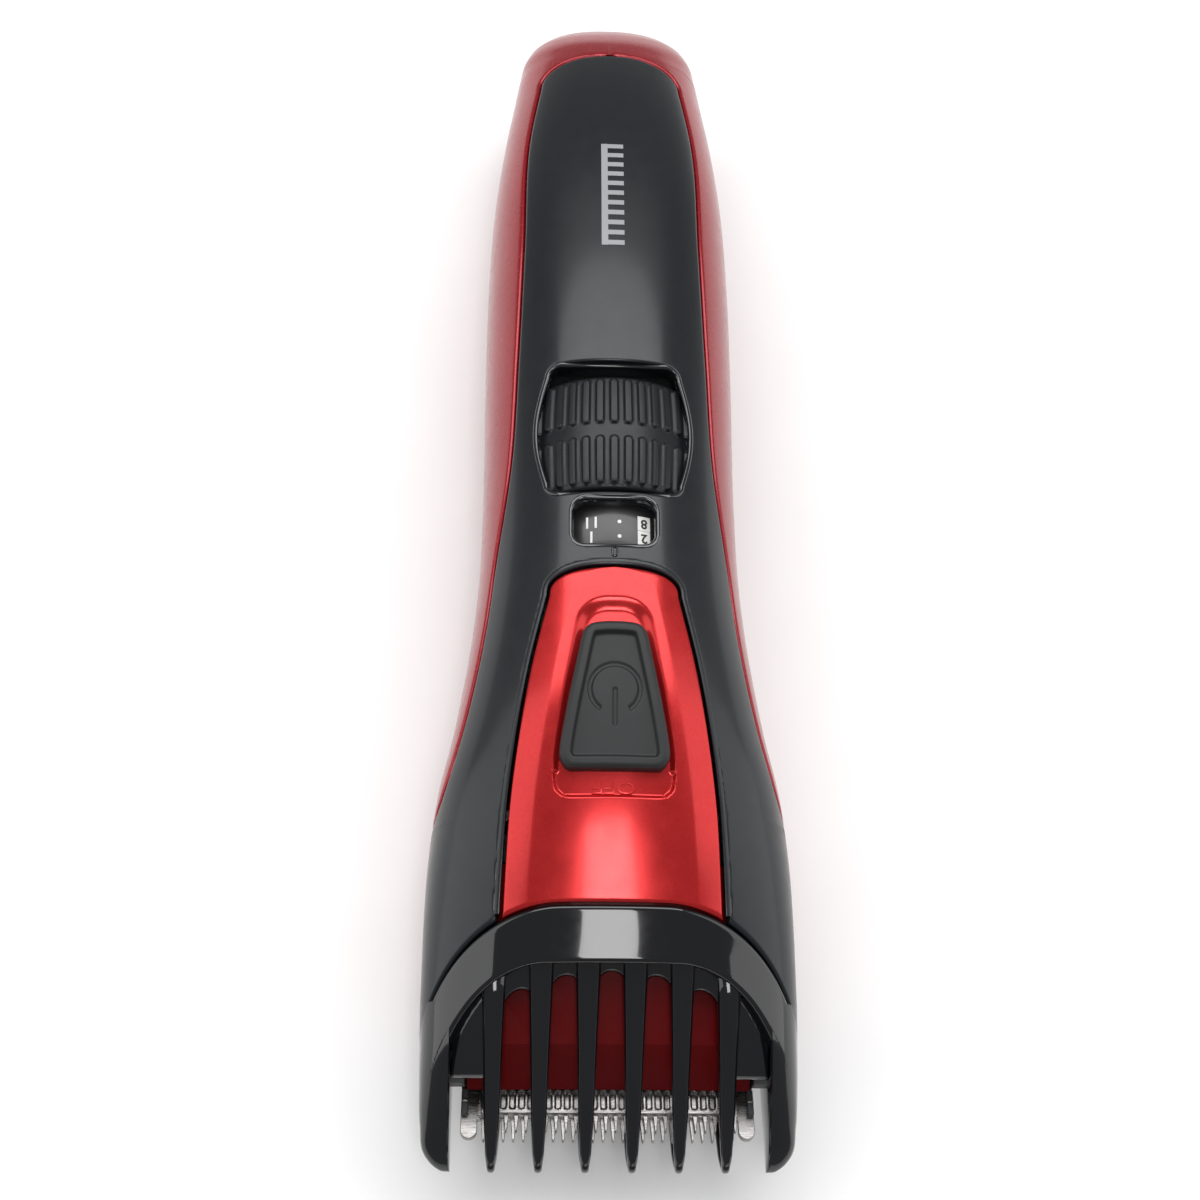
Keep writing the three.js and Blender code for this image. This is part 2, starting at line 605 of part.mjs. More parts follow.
// ---------------------------------------------------------------- wheel and number drum
function ribbedRing(from, to) {
  const outline = [];
  for (let i = 0; i < WHEEL_RIBS * 2; i++) {
    const radius = i % 2 ? WHEEL_RADIUS : WHEEL_RADIUS - 0.9;
    for (const shift of [-0.28, 0.28]) {
      const angle = ((i + shift) * Math.PI) / WHEEL_RIBS;
      outline.push([radius * Math.cos(angle), radius * Math.sin(angle)]);
    }
  }
  const made = extrude(shapeOf(outline), to - from).rotateX(Math.PI / 2);
  return solid(made.translate(0, to, AXIS_HEIGHT));
}

function zoomWheel() {
  const middle = (wheelFront + wheelRear) / 2;
  const rim = 0.9;
  const band = 1;
  const ribs = join(
    ribbedRing(wheelFront + rim, middle - band),
    ribbedRing(middle + band, wheelRear - rim),
    barY(WHEEL_RADIUS - 0.9, wheelFront, wheelRear, { sides: 48 }),
    barY(WHEEL_RADIUS - 0.3, middle - band - 0.3, middle + band + 0.3, { sides: 48 }),
  );
  const bore = barY(WHEEL_BORE, wheelFront - 1, wheelRear + 1, { sides: 32 });
  return cut(ribs, bore, helicalGroove());
}

// The groove that pushes the carrier's pin, cut as short lengths along a helix.
function helicalGroove() {
  const steps = 20;
  const half = followerHalf + RUNNING + 0.4;
  const lengths = Array.from({ length: steps + 1 }, (_, i) => {
    const y = followerY - (COMB_TRAVEL * i) / steps;
    const length = box([WHEEL_BORE - 0.6, WHEEL_BORE + 1.2], [y - half, y + half], [-2.2, 2.2]);
    return length.rotate([0, (-WHEEL_TURN * i) / steps, 0]);
  });
  return join(...lengths).translate([0, 0, AXIS_HEIGHT]);
}

const numberDrum = () =>
  tubeY(WHEEL_BORE + 0.8, WHEEL_BORE, wheelFront - SEAM - drumLength, wheelFront - SEAM, { sides: 48 });

// ---------------------------------------------------------------- frame, cells and electrics
const bulkheadFront = wheelFront - SEAM - drumLength - 1;
const bulkheadRear = wheelRear + 3;
const cellX = CELL_RADIUS + SEAM;
const cellZ = 13;
const cellFront = bulkheadRear + 4;
const cellRear = cellFront + CELL_LENGTH;
const trayTop = cellZ - CELL_RADIUS - RUNNING;

function innerFrame() {
  const inside = bodyForm(-60, 80, wall + SEAM).subtract(box([-60, 60], [-150, 150], [-20, wall + SEAM]));
  const slab = (from, to) => box([-40, 40], [from, to], [0, 50]).intersect(inside);
  const barrel = barY(BARREL_RADIUS, bulkheadFront - 1, bulkheadRear + 1);
  const hollow = barY(BARREL_RADIUS - 1.2, bulkheadFront - 5, bulkheadRear + 5);
  const tray = box([-14, 14], [bulkheadRear, cellRear + 1], [trayTop - 1.2, trayTop]).intersect(inside);
  const shelf = box([-8, 8], [-36, bulkheadFront], [26.6, 27.5]);
  const railHole = both(
    box(
      [railX[0] - SEAM, railX[1] + SEAM],
      [bulkheadFront - 9, bulkheadFront + 1],
      [railZ[0] - RUNNING, railZ[1] + RUNNING],
    ),
  );
  const slabs = slab(bulkheadFront - 2, bulkheadFront).add(slab(bulkheadRear, bulkheadRear + 2));
  const made = join(slabs, barrel, tray, shelf);
  return cut(made, hollow, railHole);
}

function cell(side) {
  const place = { x: side * cellX, z: cellZ, sides: 24 };
  const nib = side > 0 ? [cellRear - 1, cellRear + 1] : [cellFront - 1, cellFront + 1];
  return join(barY(CELL_RADIUS, cellFront, cellRear, place), barY(2.5, ...nib, { ...place, sides: 16 }));
}

const contactPlate = (from, left, right) =>
  box([left, right], [from, from + 0.4], [cellZ - 4.5, cellZ + 4.5]);

const mainBoard = () => box([-10.2, 10.2], [-56, -25], [27.8, 29]);
const chargeBoard = () => box([-10.5, 10.5], [cellFront + 3, cellRear - 6], [21, 22.2]);

function switchBody() {
  const made = box([-4.2, 4.2], [stem.front - 5, stem.rear + 2], [29.05, 32.2]);
  const slotHalf = stem.half + 0.4;
  const slot = box([-slotHalf, slotHalf], [stem.front - SWITCH_TRAVEL - 0.6, stem.rear + 0.6], [30.2, 40]);
  return made.subtract(slot);
}

const inletHeight = MID_HEIGHT;
const inletRadius = 3.4;

function chargeInlet() {
  const place = { z: inletHeight, sides: 24 };
  const body = barY(inletRadius, butt - 12, butt, place);
  const mouth = barY(inletRadius - 1, butt - 9, butt + 1, place);
  return join(body.subtract(mouth), barY(0.7, butt - 10, butt - 2.5, { ...place, sides: 12 }));
}

const lightX = 8;
const chargeLight = () =>
  barY(1.2, butt - 9, butt, { x: lightX, z: inletHeight, sides: 16 }).intersect(bodyForm(0, butt, SEAM));

// ---------------------------------------------------------------- casings
function lowerHousing() {
  const bosses = [];
  const holes = [];
  for (const [x, y] of Object.values(SCREWS)) {
    bosses.push(both(barZ(postRadius + 1.2, wall / 2, seatHeight, x, y).intersect(casingOuter)));
    holes.push(both(screwHoles(x, y)));
  }
  const shell = casing.subtract(prism(coverPlan(SEAM), MID_HEIGHT - SEAM, 60));
  const inletHole = barY(inletRadius + SEAM, butt - 15, butt + 2, { z: inletHeight, sides: 24 });
  const lightHole = barY(1.2 + SEAM, butt - 12, butt + 2, { x: lightX, z: inletHeight, sides: 16 });
  return largest(cut(join(shell, ...bosses), ...holes, inletHole, lightHole));
}

const wheelOpening = prism(barrelPlan(openingFront, openingRear, 9.4, 11.1), AXIS_HEIGHT + 3, 60);
const windowOpening = prism(roundedBox(5.6, windowFront, windowRear, 1.8), AXIS_HEIGHT + 3, 60);

function topCover() {
  const posts = [];
  const bores = [];
  for (const [x, y] of Object.values(SCREWS)) {
    posts.push(both(barZ(postRadius, seatHeight + SEAM, 40, x, y).intersect(casingOuter)));
    bores.push(both(barZ(SCREW_RADIUS + 0.1, 0, seatHeight + 8, x, y, 12)));
  }
  const shell = casing.intersect(prism(coverPlan(0), MID_HEIGHT, 60));
  const panelHole = prism(panelPlan(SEAM), MID_HEIGHT + 2, 60);
  return largest(cut(join(shell, ...posts), ...bores, panelHole, wheelOpening, windowOpening));
}

function switchPanel() {
  const panel = casing.intersect(prism(panelPlan(0), MID_HEIGHT + 2, 60));
  const pocket = prism(pocketPlan, 20, 60).subtract(bodyForm(-70, -10, pocketDeep));
  const slot = box(
    [-stem.half - RUNNING, stem.half + RUNNING],
    [stem.front - SWITCH_TRAVEL - RUNNING, stem.rear + RUNNING],
    [20, 60],
  );
  return largest(cut(panel, pocket, slot));
}

function powerSwitch() {
  const outer = bodyForm(-70, -10, -1.4);
  const knob = prism(knobPlan, 20, 60).intersect(outer).subtract(bodyForm(-70, -10, pocketDeep - SEAM));
  const dish = prism(
    knobPlan.map(([x, y]) => [x * 0.72, (y + 41.4) * 0.8 - 41.4]),
    20,
    60,
  ).subtract(bodyForm(-70, -10, -0.7));
  const leg = box([-stem.half, stem.half], [stem.front, stem.rear], [30.6, 36.2]);
  return join(knob.subtract(dish), leg);
}

function caseScrew(side, [x, y]) {
  const head = barZ(screwHead.radius, screwHead.low, screwHead.high, side * x, y, 20);
  const shank = barZ(SCREW_RADIUS, screwHead.high - 1, seatHeight + 7, side * x, y, 12);
  const slots = join(box([-1.5, 1.5], [-0.3, 0.3], [0, 0.8]), box([-0.3, 0.3], [-1.5, 1.5], [0, 0.8]));
  return join(head, shank).subtract(slots.translate([side * x, y, screwHead.low]));
}

// ---------------------------------------------------------------- the object
const red = { color: 0xa3121c, roughness: 0.25, metalness: 0.2 };
const black = { color: 0x26292b, roughness: 0.45, metalness: 0 };
const gloss = { color: 0x0e0f11, roughness: 0.12, metalness: 0 };
const inner = { color: 0x3a3c40, roughness: 0.6, metalness: 0 };
const steel = { color: 0xb9bdc1, roughness: 0.28, metalness: 1 };
const brass = { color: 0xb99a55, roughness: 0.35, metalness: 1 };
const board = { color: 0x1f5a38, roughness: 0.5, metalness: 0 };

const clipper = new THREE.Group();
clipper.name = "hair_clipper";

function add(name, made, material) {
  const mesh = new THREE.Mesh(geometryOf(made), new THREE.MeshStandardMaterial(material));
  mesh.name = name;
  mesh.position.y = (HEAD_LENGTH - HANDLE_LENGTH) / 2;
  clipper.add(mesh);
}

add("lower_housing", lowerHousing(), red);
add("top_cover", topCover(), black);
add("switch_panel", switchPanel(), red);
add("power_switch", powerSwitch(), { ...black, roughness: 0.8 });
add("zoom_wheel", zoomWheel(), gloss);
add("number_drum", numberDrum(), gloss);
add("comb_carrier", combCarrier(), inner);
add("guide_comb", guideComb(), gloss);
add("head_cover", headCover(), { ...red, color: 0x5c0a10 });
add("stationary_blade", fixedBlade(), steel);
add("moving_blade", movingBlade(), steel);
add("blade_base", bladeBase(), inner);
add("drive_yoke", driveYoke(), { ...inner, color: 0xd8d8d2 });
add("yoke_pin", pivotPin(), steel);
add("motor_can", motorCan(), steel);
add("motor_end_cap", endCap(), inner);
add("motor_shaft", motorShaft(), steel);
add("eccentric_cam", eccentricCam(), brass);
add("motor_bracket", motorBracket(), inner);
add("inner_frame", innerFrame(), inner);
add("cell_contact_rear", contactPlate(cellRear + 1.3, -cellX - 4, cellX + 4), brass);
add("main_board", mainBoard(), board);
add("charge_board", chargeBoard(), board);
add("switch_body", switchBody(), inner);
add("charge_inlet", chargeInlet(), gloss);
add("charge_light", chargeLight(), { color: 0xd9e6d2, roughness: 0.2, metalness: 0 });
for (const [label, side] of [["left", -1], ["right", 1]]) {
  add("blade_screw_" + label, bladeScrewAt(side), steel);
  add("blade_spring_" + label, bladeSpring(side), steel);
  add("cell_" + label, cell(side), { color: 0x2f6f9c, roughness: 0.4, metalness: 0 });
  add("cell_contact_" + label, contactPlate(cellFront - 1.6, side * cellX - 4, side * cellX + 4), brass);
  for (const [place, point] of Object.entries(SCREWS)) {
    add("case_screw_" + place + "_" + label, caseScrew(side, point), steel);
  }
}

export default clipper;
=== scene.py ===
"""Looks of a cordless hair clipper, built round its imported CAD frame.

Shapes are worked out in millimetres in the row frame and turned into metres when a mesh is made.
"""
import math

import bmesh
import bpy
import numpy as np
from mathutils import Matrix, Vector, kdtree


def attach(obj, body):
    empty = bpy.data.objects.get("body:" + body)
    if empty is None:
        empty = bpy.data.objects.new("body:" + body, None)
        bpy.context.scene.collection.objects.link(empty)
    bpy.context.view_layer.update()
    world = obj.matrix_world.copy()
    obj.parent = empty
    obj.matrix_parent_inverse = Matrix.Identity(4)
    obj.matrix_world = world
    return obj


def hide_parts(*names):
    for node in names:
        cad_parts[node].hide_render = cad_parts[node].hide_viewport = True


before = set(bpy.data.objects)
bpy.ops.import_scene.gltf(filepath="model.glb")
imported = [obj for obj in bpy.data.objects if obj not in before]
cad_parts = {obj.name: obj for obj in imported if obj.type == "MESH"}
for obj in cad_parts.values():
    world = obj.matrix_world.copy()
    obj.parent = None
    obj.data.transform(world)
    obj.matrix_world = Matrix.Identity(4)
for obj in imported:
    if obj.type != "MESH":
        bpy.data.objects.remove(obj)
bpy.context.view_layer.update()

# ------------------------------------------------------------------ outer form of the body
POWER = 2.25  # squareness of the upper half; 2 would be an ellipse
HOOD_REAR, HOOD_FRONT = -63.3, -70.5
COMB_TIP, BUTT = -95.0, 95.0
HEAD_HALF = 25.5
MID = 18.0  # height at which the handle is widest
SHELL_WALL = 1.3
PARTING_EDGE = 0.45  # rounding where the two shells meet
SEAM = 0.3  # gap between neighbouring shells
PANEL_GAP = 0.25
HOLE_EDGE = 0.22  # rounding of the cover's edge at its openings
AXIS = 22.0  # height of the wheel's axis
# place along the body, half width, top, bottom, widest height, squareness of the underside
FORM = np.array([
    (-95, 22.6, 16.8, 13.2, 14.9, 5), (-93, 24.3, 19, 12.5, 15.3, 5), (-89.5, 25, 22, 11.6, 15.8, 5),
    (-84.5, 25.3, 25.7, 10.1, 16.6, 5), (-79.5, 25.4, 28, 8.6, 17.3, 5), (-74.5, 25.5, 28.9, 7.1, 17.8, 5),
    (-70.5, 25.5, 29.5, 6.1, 18, 5), (-63.3, 25.5, 31.3, 4.6, 18, 4.6), (-54.5, 25.2, 33.5, 2.6, 18, 4),
    (-44.5, 24.1, 35.3, 1.1, 18, 3.2), (-37, 22.5, 36.4, 0.3, 18, 2.8), (-30.5, 21.4, 36.9, -0.1, 18, 2.5),
    (-22.5, 20.3, 37.3, -0.4, 18, POWER), (-13.5, 19.5, 37.5, -0.6, 18, POWER),
    (-0.5, 19.2, 37.5, -0.6, 18, POWER),
    (20.5, 19.4, 37.3, -0.6, 18, POWER), (39.5, 19.4, 36.5, -0.6, 18, POWER),
    (57, 18.7, 34.8, -0.6, 18, POWER),
    (69, 17.4, 32.6, -0.1, 18, POWER), (78, 16.1, 30.2, 1.2, 18, POWER), (83.5, 15.3, 28.3, 3, 18, POWER),
    (88, 14.4, 26.3, 5.4, 18, POWER), (91, 12.6, 24.4, 8, 18, POWER), (93.4, 9.2, 22.2, 11.5, 18, POWER),
    (94.6, 5.0, 20.3, 14.6, 18, POWER), (95, 1.5, 18.9, 17, 18, POWER),
], float)


def spline(table, y):
    """A table's other columns at each y, by a cubic through its rows."""
    y = np.ravel(np.asarray(y, float))
    t, v = table[:, 0], table[:, 1:]
    step = np.diff(t)[:, None]
    slope = np.diff(v, axis=0) / step
    inner = (slope[:-1] * step[1:] + slope[1:] * step[:-1]) / (step[1:] + step[:-1])
    tangent = np.vstack([slope[:1], inner, slope[-1:]])
    i = np.clip(np.searchsorted(t, y, side="right") - 1, 0, len(t) - 2)
    h = step[i]
    s = np.clip((y - t[i])[:, None] / h, 0, 1)
    return (
        (2 * s**3 - 3 * s**2 + 1) * v[i] + (s**3 - 2 * s**2 + s) * h * tangent[i]
        + (3 * s**2 - 2 * s**3) * v[i + 1] + (s**3 - s**2) * h * tangent[i + 1]
    )


def form(y):
    """Half width, top, bottom, widest height and squareness of the section at each y."""
    return spline(FORM, y)


def section(row, angle, inset=0.0):
    """x and z of a section at the given angles, from +X towards +Z."""
    half, top, bottom, mid, square = row
    c, s = np.cos(angle), np.sin(angle)
    rise = np.where(s > 0, top - inset - mid, mid - bottom - inset)
    power = np.where(s > 0, 2 / POWER, 2 / square)
    return (half - inset) * np.sign(c) * np.abs(c) ** power, mid + rise * np.sign(s) * np.abs(s) ** power


def top_z(x, y, inset=0.0):
    """Height of the upper surface over a point in plan."""
    f = form(np.ravel(y))
    half, top, mid = (f[:, k].reshape(np.shape(y)) for k in (0, 1, 3))
    u = np.clip(np.abs(x) / (half - inset), 0, 1)
    return mid + (top - inset - mid) * (1 - u**POWER) ** (1 / POWER)


# ------------------------------------------------------------------ outlines in plan
# place along the body and half width there; past its last row the outline closes in a round end
COVER_END, COVER_ROUND = 81.9, 2.2
COVER_HALF = np.array([
    (-110, 28), (-58.5, 27.5), (-52.5, 25.5), (-46.5, 23.2), (-39.5, 21.1), (-30.5, 19.1), (-22.5, 17.8),
    (-14.5, 16.9), (1.5, 14.9), (19.5, 14.2), (39.5, 13.7), (63, 13.2), (75, 11.6),
], float)
PANEL_END, PANEL_ROUND = -17.2, 2.6
PANEL_HALF = np.array([
    (-110, 14.5), (-57, 14.4), (-50, 14.0), (-42.5, 13.2), (-30.5, 11.3), (-21, 9.1),
], float)


def smooth_path(table, y):
    """Values of a two-column table, smoothed through its points."""
    return spline(table, y)[:, 0].reshape(np.shape(y))


def half_in_plan(table, end, power, y, grow):
    """Half width from a table, then a rounded end that closes at `end`; zero past it."""
    y = np.asarray(y, float)
    last = table[-1, 0]
    straight = smooth_path(table, np.minimum(y, last)) + grow
    u = np.clip((y - last) / (end + grow - last), 0, 1)
    return np.where(y <= last, straight, straight * (1 - u**power) ** (1 / power))


def cover_half(y, grow=0.0):
    return half_in_plan(COVER_HALF, COVER_END, COVER_ROUND, y, grow)


def panel_half(y, grow=0.0):
    return half_in_plan(PANEL_HALF, PANEL_END, PANEL_ROUND, y, grow)


def arch(x, apex, flat, half, sweep):
    """y of an arch in plan that is flat across the middle and sweeps forward at its sides."""
    u = np.clip((np.abs(x) - flat) / (half - flat), 0, 1)
    return apex - sweep * (1 - np.sqrt(1 - u**2))


def hood_rear(x):
    return arch(x, HOOD_REAR, 7, HEAD_HALF, 19)


def hood_front(x):
    return arch(x, HOOD_FRONT, 9, 25.2, 24.4)


def rounded_box(half, front, rear, radius, end_half=None, count=10):
    """An outline in plan with rounded corners; its sides bulge out to `half` from `end_half`."""
    end_half = half if end_half is None else end_half
    points = []
    for cy, start in ((front + radius, -90), (rear - radius, 0)):
        for i in range(count + 1):
            a = math.radians(start + 90 * i / count)
            points.append((end_half - radius + radius * math.cos(a), cy + radius * math.sin(a)))
        if start < 0:
            for i in range(1, 4 * count):
                t = i / (4 * count)
                y = front + radius + (rear - front - 2 * radius) * t
                points.append((end_half + (half - end_half) * math.sin(math.pi * t), y))
    return np.array(points + [(-x, y) for x, y in reversed(points)])


WHEEL_HOLE = rounded_box(11.0, -5.0, 15.8, 1.6, 9.4)
WINDOW_HOLE = rounded_box(5.7, -13.4, -6.75, 1.7)
RIM = 0.5  # how far the cover's openings stand back under the rims


def offset_outline(outline, by):
    """The outline moved outwards by a distance along its own normals."""
    ahead, behind = np.roll(outline, -1, 0), np.roll(outline, 1, 0)
    along = ahead - behind
    normal = np.stack([along[:, 1], -along[:, 0]], 1)
    normal /= np.linalg.norm(normal, axis=1)[:, None]
    return outline + normal * by


def nearest_on(points, outline):
    """Signed distance to a closed outline, negative inside, and the nearest point on it."""
    best = np.full(len(points), 1e9)
    near = np.zeros((len(points), 2))
    inside = np.zeros(len(points), bool)
    for a, b in zip(outline, np.roll(outline, -1, 0)):
        ab = b - a
        t = np.clip(((points - a) @ ab) / (ab @ ab), 0, 1)
        q = a + t[:, None] * ab
        d = np.hypot(*(points - q).T)
        closer = d < best
        best[closer], near[closer] = d[closer], q[closer]
        crosses = (a[1] > points[:, 1]) != (b[1] > points[:, 1])
        rise = b[1] - a[1] or 1e-12
        inside ^= crosses & (points[:, 0] < (b[0] - a[0]) * (points[:, 1] - a[1]) / rise + a[0])
    return np.where(inside, -best, best), near


def ease(t):
    t = np.clip(t, 0, 1)
    return t * t * (3 - 2 * t)


def round_over(distance, radius):
    """How far a rounded edge has dropped at a distance from the edge."""
    left = np.clip(radius - distance, 0, radius)
    return radius - np.sqrt(radius**2 - left**2)


# ------------------------------------------------------------------ meshes
def make(name, verts, faces, body, material, smooth=60, replaces=(), slot=None):
    """A mesh object from points in millimetres, riding on a body."""
    mesh = bpy.data.meshes.new(name)
    mesh.from_pydata((np.asarray(verts) * 0.001).tolist(), [], faces)
    mesh.validate()
    bm = bmesh.new()
    bm.from_mesh(mesh)
    bmesh.ops.remove_doubles(bm, verts=bm.verts, dist=2e-6)
    bmesh.ops.delete(bm, geom=[v for v in bm.verts if not v.link_faces], context="VERTS")
    bmesh.ops.recalc_face_normals(bm, faces=bm.faces)
    bm.to_mesh(mesh)
    bm.free()
    mesh.shade_smooth()
    mesh.set_sharp_from_angle(angle=math.radians(smooth))
    obj = bpy.data.objects.new(name, mesh)
    bpy.context.scene.collection.objects.link(obj)
    mesh.materials.append(material)
    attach(obj, body)
    if replaces:
        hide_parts(*replaces)
    return obj


def grid_normals(points):
    """Normals of a grid: outward where its rows run along y and its columns from +X over the top to -X."""
    du = np.gradient(points, axis=0)
    dv = np.gradient(points, axis=1)
    n = np.cross(du, dv)
    length = np.linalg.norm(n, axis=2, keepdims=True)
    return n / np.maximum(length, 1e-9)


def grid_faces(rows, cols, wrap=False):
    faces = []
    last = cols if wrap else cols - 1
    for i in range(rows - 1):
        for j in range(last):
            k = (j + 1) % cols
            faces.append((i * cols + j, i * cols + k, (i + 1) * cols + k, (i + 1) * cols + j))
    return faces


def close_ring(rings, count):
    """Faces from the last ring back to the first, so that a wrapped grid becomes a closed tube."""
    last = (rings - 1) * count
    return [(last + j, last + (j + 1) % count, (j + 1) % count, j) for j in range(count)]


def caps(rings, count):
    """Flat ends of a wrapped grid."""
    return [tuple(range(count)), tuple((rings - 1) * count + j for j in reversed(range(count)))]


def soften(obj, width, segments, angle=30):
    """A small bevel, its width in millimetres, on edges sharper than the angle."""
    bevel = obj.modifiers.new("edge", "BEVEL")
    bevel.width, bevel.segments = width * 0.001, segments
    bevel.limit_method, bevel.angle_limit = "ANGLE", math.radians(angle)


def rim_distance(points, rims):
    """Distance of each point to the nearest of the rim points."""
    rims = np.asarray(rims)
    tree = kdtree.KDTree(len(rims))
    for i, p in enumerate(rims):
        tree.insert(Vector(p), i)
    tree.balance()
    flat = points.reshape(-1, 3)
    return np.array([tree.find(Vector(p))[2] for p in flat]).reshape(points.shape[:-1])


def dense(points):
    """A polyline with extra points between its own."""
    parts = [points[:-1] + (points[1:] - points[:-1]) * k / 6 for k in range(6)]
    return np.concatenate(parts + [points[-1:]])


def thickened(faces, count):
    """Faces of a closed thin body: the given ones, their copy `count` vertices later, and walls between."""
    edges = {}
    for face in faces:
        for a, b in zip(face, face[1:] + face[:1]):
            key = (min(a, b), max(a, b))
            edges[key] = None if key in edges else (a, b)
    walls = [(e[1], e[0], e[0] + count, e[1] + count) for e in edges.values() if e]
    back = [tuple(reversed([v + count for v in face])) for face in faces]
    return faces + back + walls


def shell(name, outer, inner, faces, body, material, **more):
    """A closed thin body between two point sets that share their faces."""
    return make(name, np.vstack([outer, inner]), thickened(faces, len(outer)), body, material, **more)


def joined(parts):
    """Several pairs of vertices and faces as one pair."""
    faces, start = [], 0
    for verts, more in parts:
        faces += [tuple(i + start for i in face) for face in more]
        start += len(verts)
    return np.vstack([verts for verts, _ in parts]), faces


def spaced(length, count, edge):
    """Places along a length, closer together near both ends."""
    edge = min(edge, length / 4)
    near = edge * np.array([0, 0.06, 0.18, 0.38, 0.66])
    middle = np.linspace(edge, length - edge, count)
    return np.r_[near, middle, length - near[::-1]] / length


def surface(y, angle, inset=0.0):
    """Points of the body's outer form at places along it and angles round it."""
    y, angle = np.broadcast_arrays(np.asarray(y, float), angle)
    f = form(y.ravel()).T.reshape(5, *y.shape)
    x, z = section(f, angle, inset)
    return np.stack([x, y, z], -1)


def even_angles(y, start, end, places):
    """Angles of one row that split its arc at the given places."""
    fine = start + (end - start) * (0.5 - 0.5 * np.cos(np.linspace(0, math.pi, 900)))
    x, z = section(form(y)[0], fine)
    run = np.r_[0, np.cumsum(np.hypot(np.diff(x), np.diff(z)))]
    return np.interp(np.asarray(places) * run[-1], run, fine)


def width_angle(y, half_width):
    """Angle at which a section is as wide in plan as half_width; zero where it is narrower."""
    half = form(np.ravel(y))[:, 0].reshape(np.shape(y))
    return np.arccos(np.clip(half_width / half, 0, 1) ** (POWER / 2))


# ------------------------------------------------------------------ materials
def mix_sockets(sockets):
    """The colour sockets among a mix node's inputs or outputs."""
    return [s for s in sockets if s.type == "RGBA"]


def material(name, colour, rough, metal=0.0, coat=0.0, coat_rough=0.08, vary=0.05, rough_vary=0.03,
             grain=500.0, bump=0.02, bump_scale=2500.0, specular=0.5, flakes=0.0, streak=(1, 1, 1)):
    """A moulded or ground surface whose colour and roughness drift, with a fine bump or metal flakes."""
    mat = bpy.data.materials.new(name)
    mat.use_nodes = True
    nodes, links = mat.node_tree.nodes, mat.node_tree.links
    shader = nodes["Principled BSDF"]
    shader.inputs["Metallic"].default_value = metal
    shader.inputs["Specular IOR Level"].default_value = specular
    shader.inputs["Coat Weight"].default_value = coat
    shader.inputs["Coat Roughness"].default_value = coat_rough
    place = nodes.new("ShaderNodeTexCoord")
    stretch = nodes.new("ShaderNodeMapping")
    stretch.inputs["Scale"].default_value = streak
    links.new(place.outputs["Object"], stretch.inputs["Vector"])

    def noise(scale, detail):
        made = nodes.new("ShaderNodeTexNoise")
        made.inputs["Scale"].default_value = scale
        made.inputs["Detail"].default_value = detail
        links.new(stretch.outputs["Vector"], made.inputs["Vector"])
        return made

    def ranged(source, low, high, start=0.3, stop=0.7):
        made = nodes.new("ShaderNodeMapRange")
        made.inputs["From Min"].default_value = start
        made.inputs["From Max"].default_value = stop
        made.inputs["To Min"].default_value = low
        made.inputs["To Max"].default_value = high
        links.new(source, made.inputs["Value"])
        return made.outputs["Result"]

    broad = noise(grain * 0.12, 3.0)
    fine = noise(grain, 4.0)
    tint = nodes.new("ShaderNodeMix")
    tint.data_type = "RGBA"
    links.new(ranged(broad.outputs["Fac"], 0.0, 1.0), tint.inputs["Factor"])
    colours = mix_sockets(tint.inputs)
    colours[0].default_value = (*[max(0, c * (1 - vary)) for c in colour], 1)
    colours[1].default_value = (*[min(1, c * (1 + vary)) for c in colour], 1)
    out = mix_sockets(tint.outputs)[0]
    if flakes:
        specks = nodes.new("ShaderNodeTexVoronoi")
        specks.inputs["Scale"].default_value = 5200.0
        links.new(place.outputs["Object"], specks.inputs["Vector"])
        pick = ranged(specks.outputs["Color"], 0.0, flakes, 0.15, 0.95)
        glint = nodes.new("ShaderNodeMix")
        glint.data_type = "RGBA"
        glint_in = mix_sockets(glint.inputs)
        glint_in[1].default_value = (*[min(1, c * 1.7 + 0.03) for c in colour], 1)
        links.new(pick, glint.inputs["Factor"])
        links.new(out, glint_in[0])
        out = mix_sockets(glint.outputs)[0]
    links.new(out, shader.inputs["Base Color"])
    roughness = ranged(fine.outputs["Fac"], max(0.02, rough - rough_vary), min(1, rough + rough_vary))
    links.new(roughness, shader.inputs["Roughness"])
    if bump:
        texture = noise(bump_scale, 3.0)
        raised = nodes.new("ShaderNodeBump")
        raised.inputs["Strength"].default_value = bump
        raised.inputs["Distance"].default_value = 0.0002
        links.new(texture.outputs["Fac"], raised.inputs["Height"])
        links.new(raised.outputs["Normal"], shader.inputs["Normal"])
    return mat


RED = material("red_lacquer", (0.27, 0.004, 0.010), 0.26, metal=0.35, coat=0.3, coat_rough=0.05,
               flakes=0.08, bump=0, specular=0.4)
PANEL_RED = material("red_panel", (0.46, 0.011, 0.012), 0.22, metal=0.6, coat=0.2, coat_rough=0.1,
                     flakes=0.15, bump=0, grain=400)
COVER = material("black_cover", (0.006, 0.0075, 0.010), 0.33, coat=0.3, coat_rough=0.14, bump=0, specular=0.3)
GLOSS = material("black_gloss", (0.006, 0.007, 0.009), 0.14, coat=0.6, coat_rough=0.05, bump=0)
COMB = material("comb_black", (0.003, 0.0035, 0.005), 0.10, coat=0.7, coat_rough=0.04, bump=0, specular=0.3)
RUBBER = material("soft_black", (0.016, 0.017, 0.018), 0.5, bump=0.04, bump_scale=6500, specular=0.4)
WHEEL = material("wheel_black", (0.008, 0.009, 0.011), 0.36, bump=0.02, specular=0.35)
# painted shade: a darker copy of the red, with little shine, stands in for the shadow that the comb's hood
# casts on the blade head's cover; that plastic is the same red as the rest
NOSE_SHADED_RED = material("dark_red", (0.11, 0.001, 0.002), 0.34, bump=0, specular=0.12)
STEEL = material("blade_steel", (0.26, 0.25, 0.245), 0.32, metal=1.0, streak=(1, 14, 1), grain=700, bump=0.05,
                 vary=0.12, rough_vary=0.12)
DARK_STEEL = material("screw_steel", (0.30, 0.30, 0.31), 0.34, metal=1.0, bump=0.06, vary=0.15)
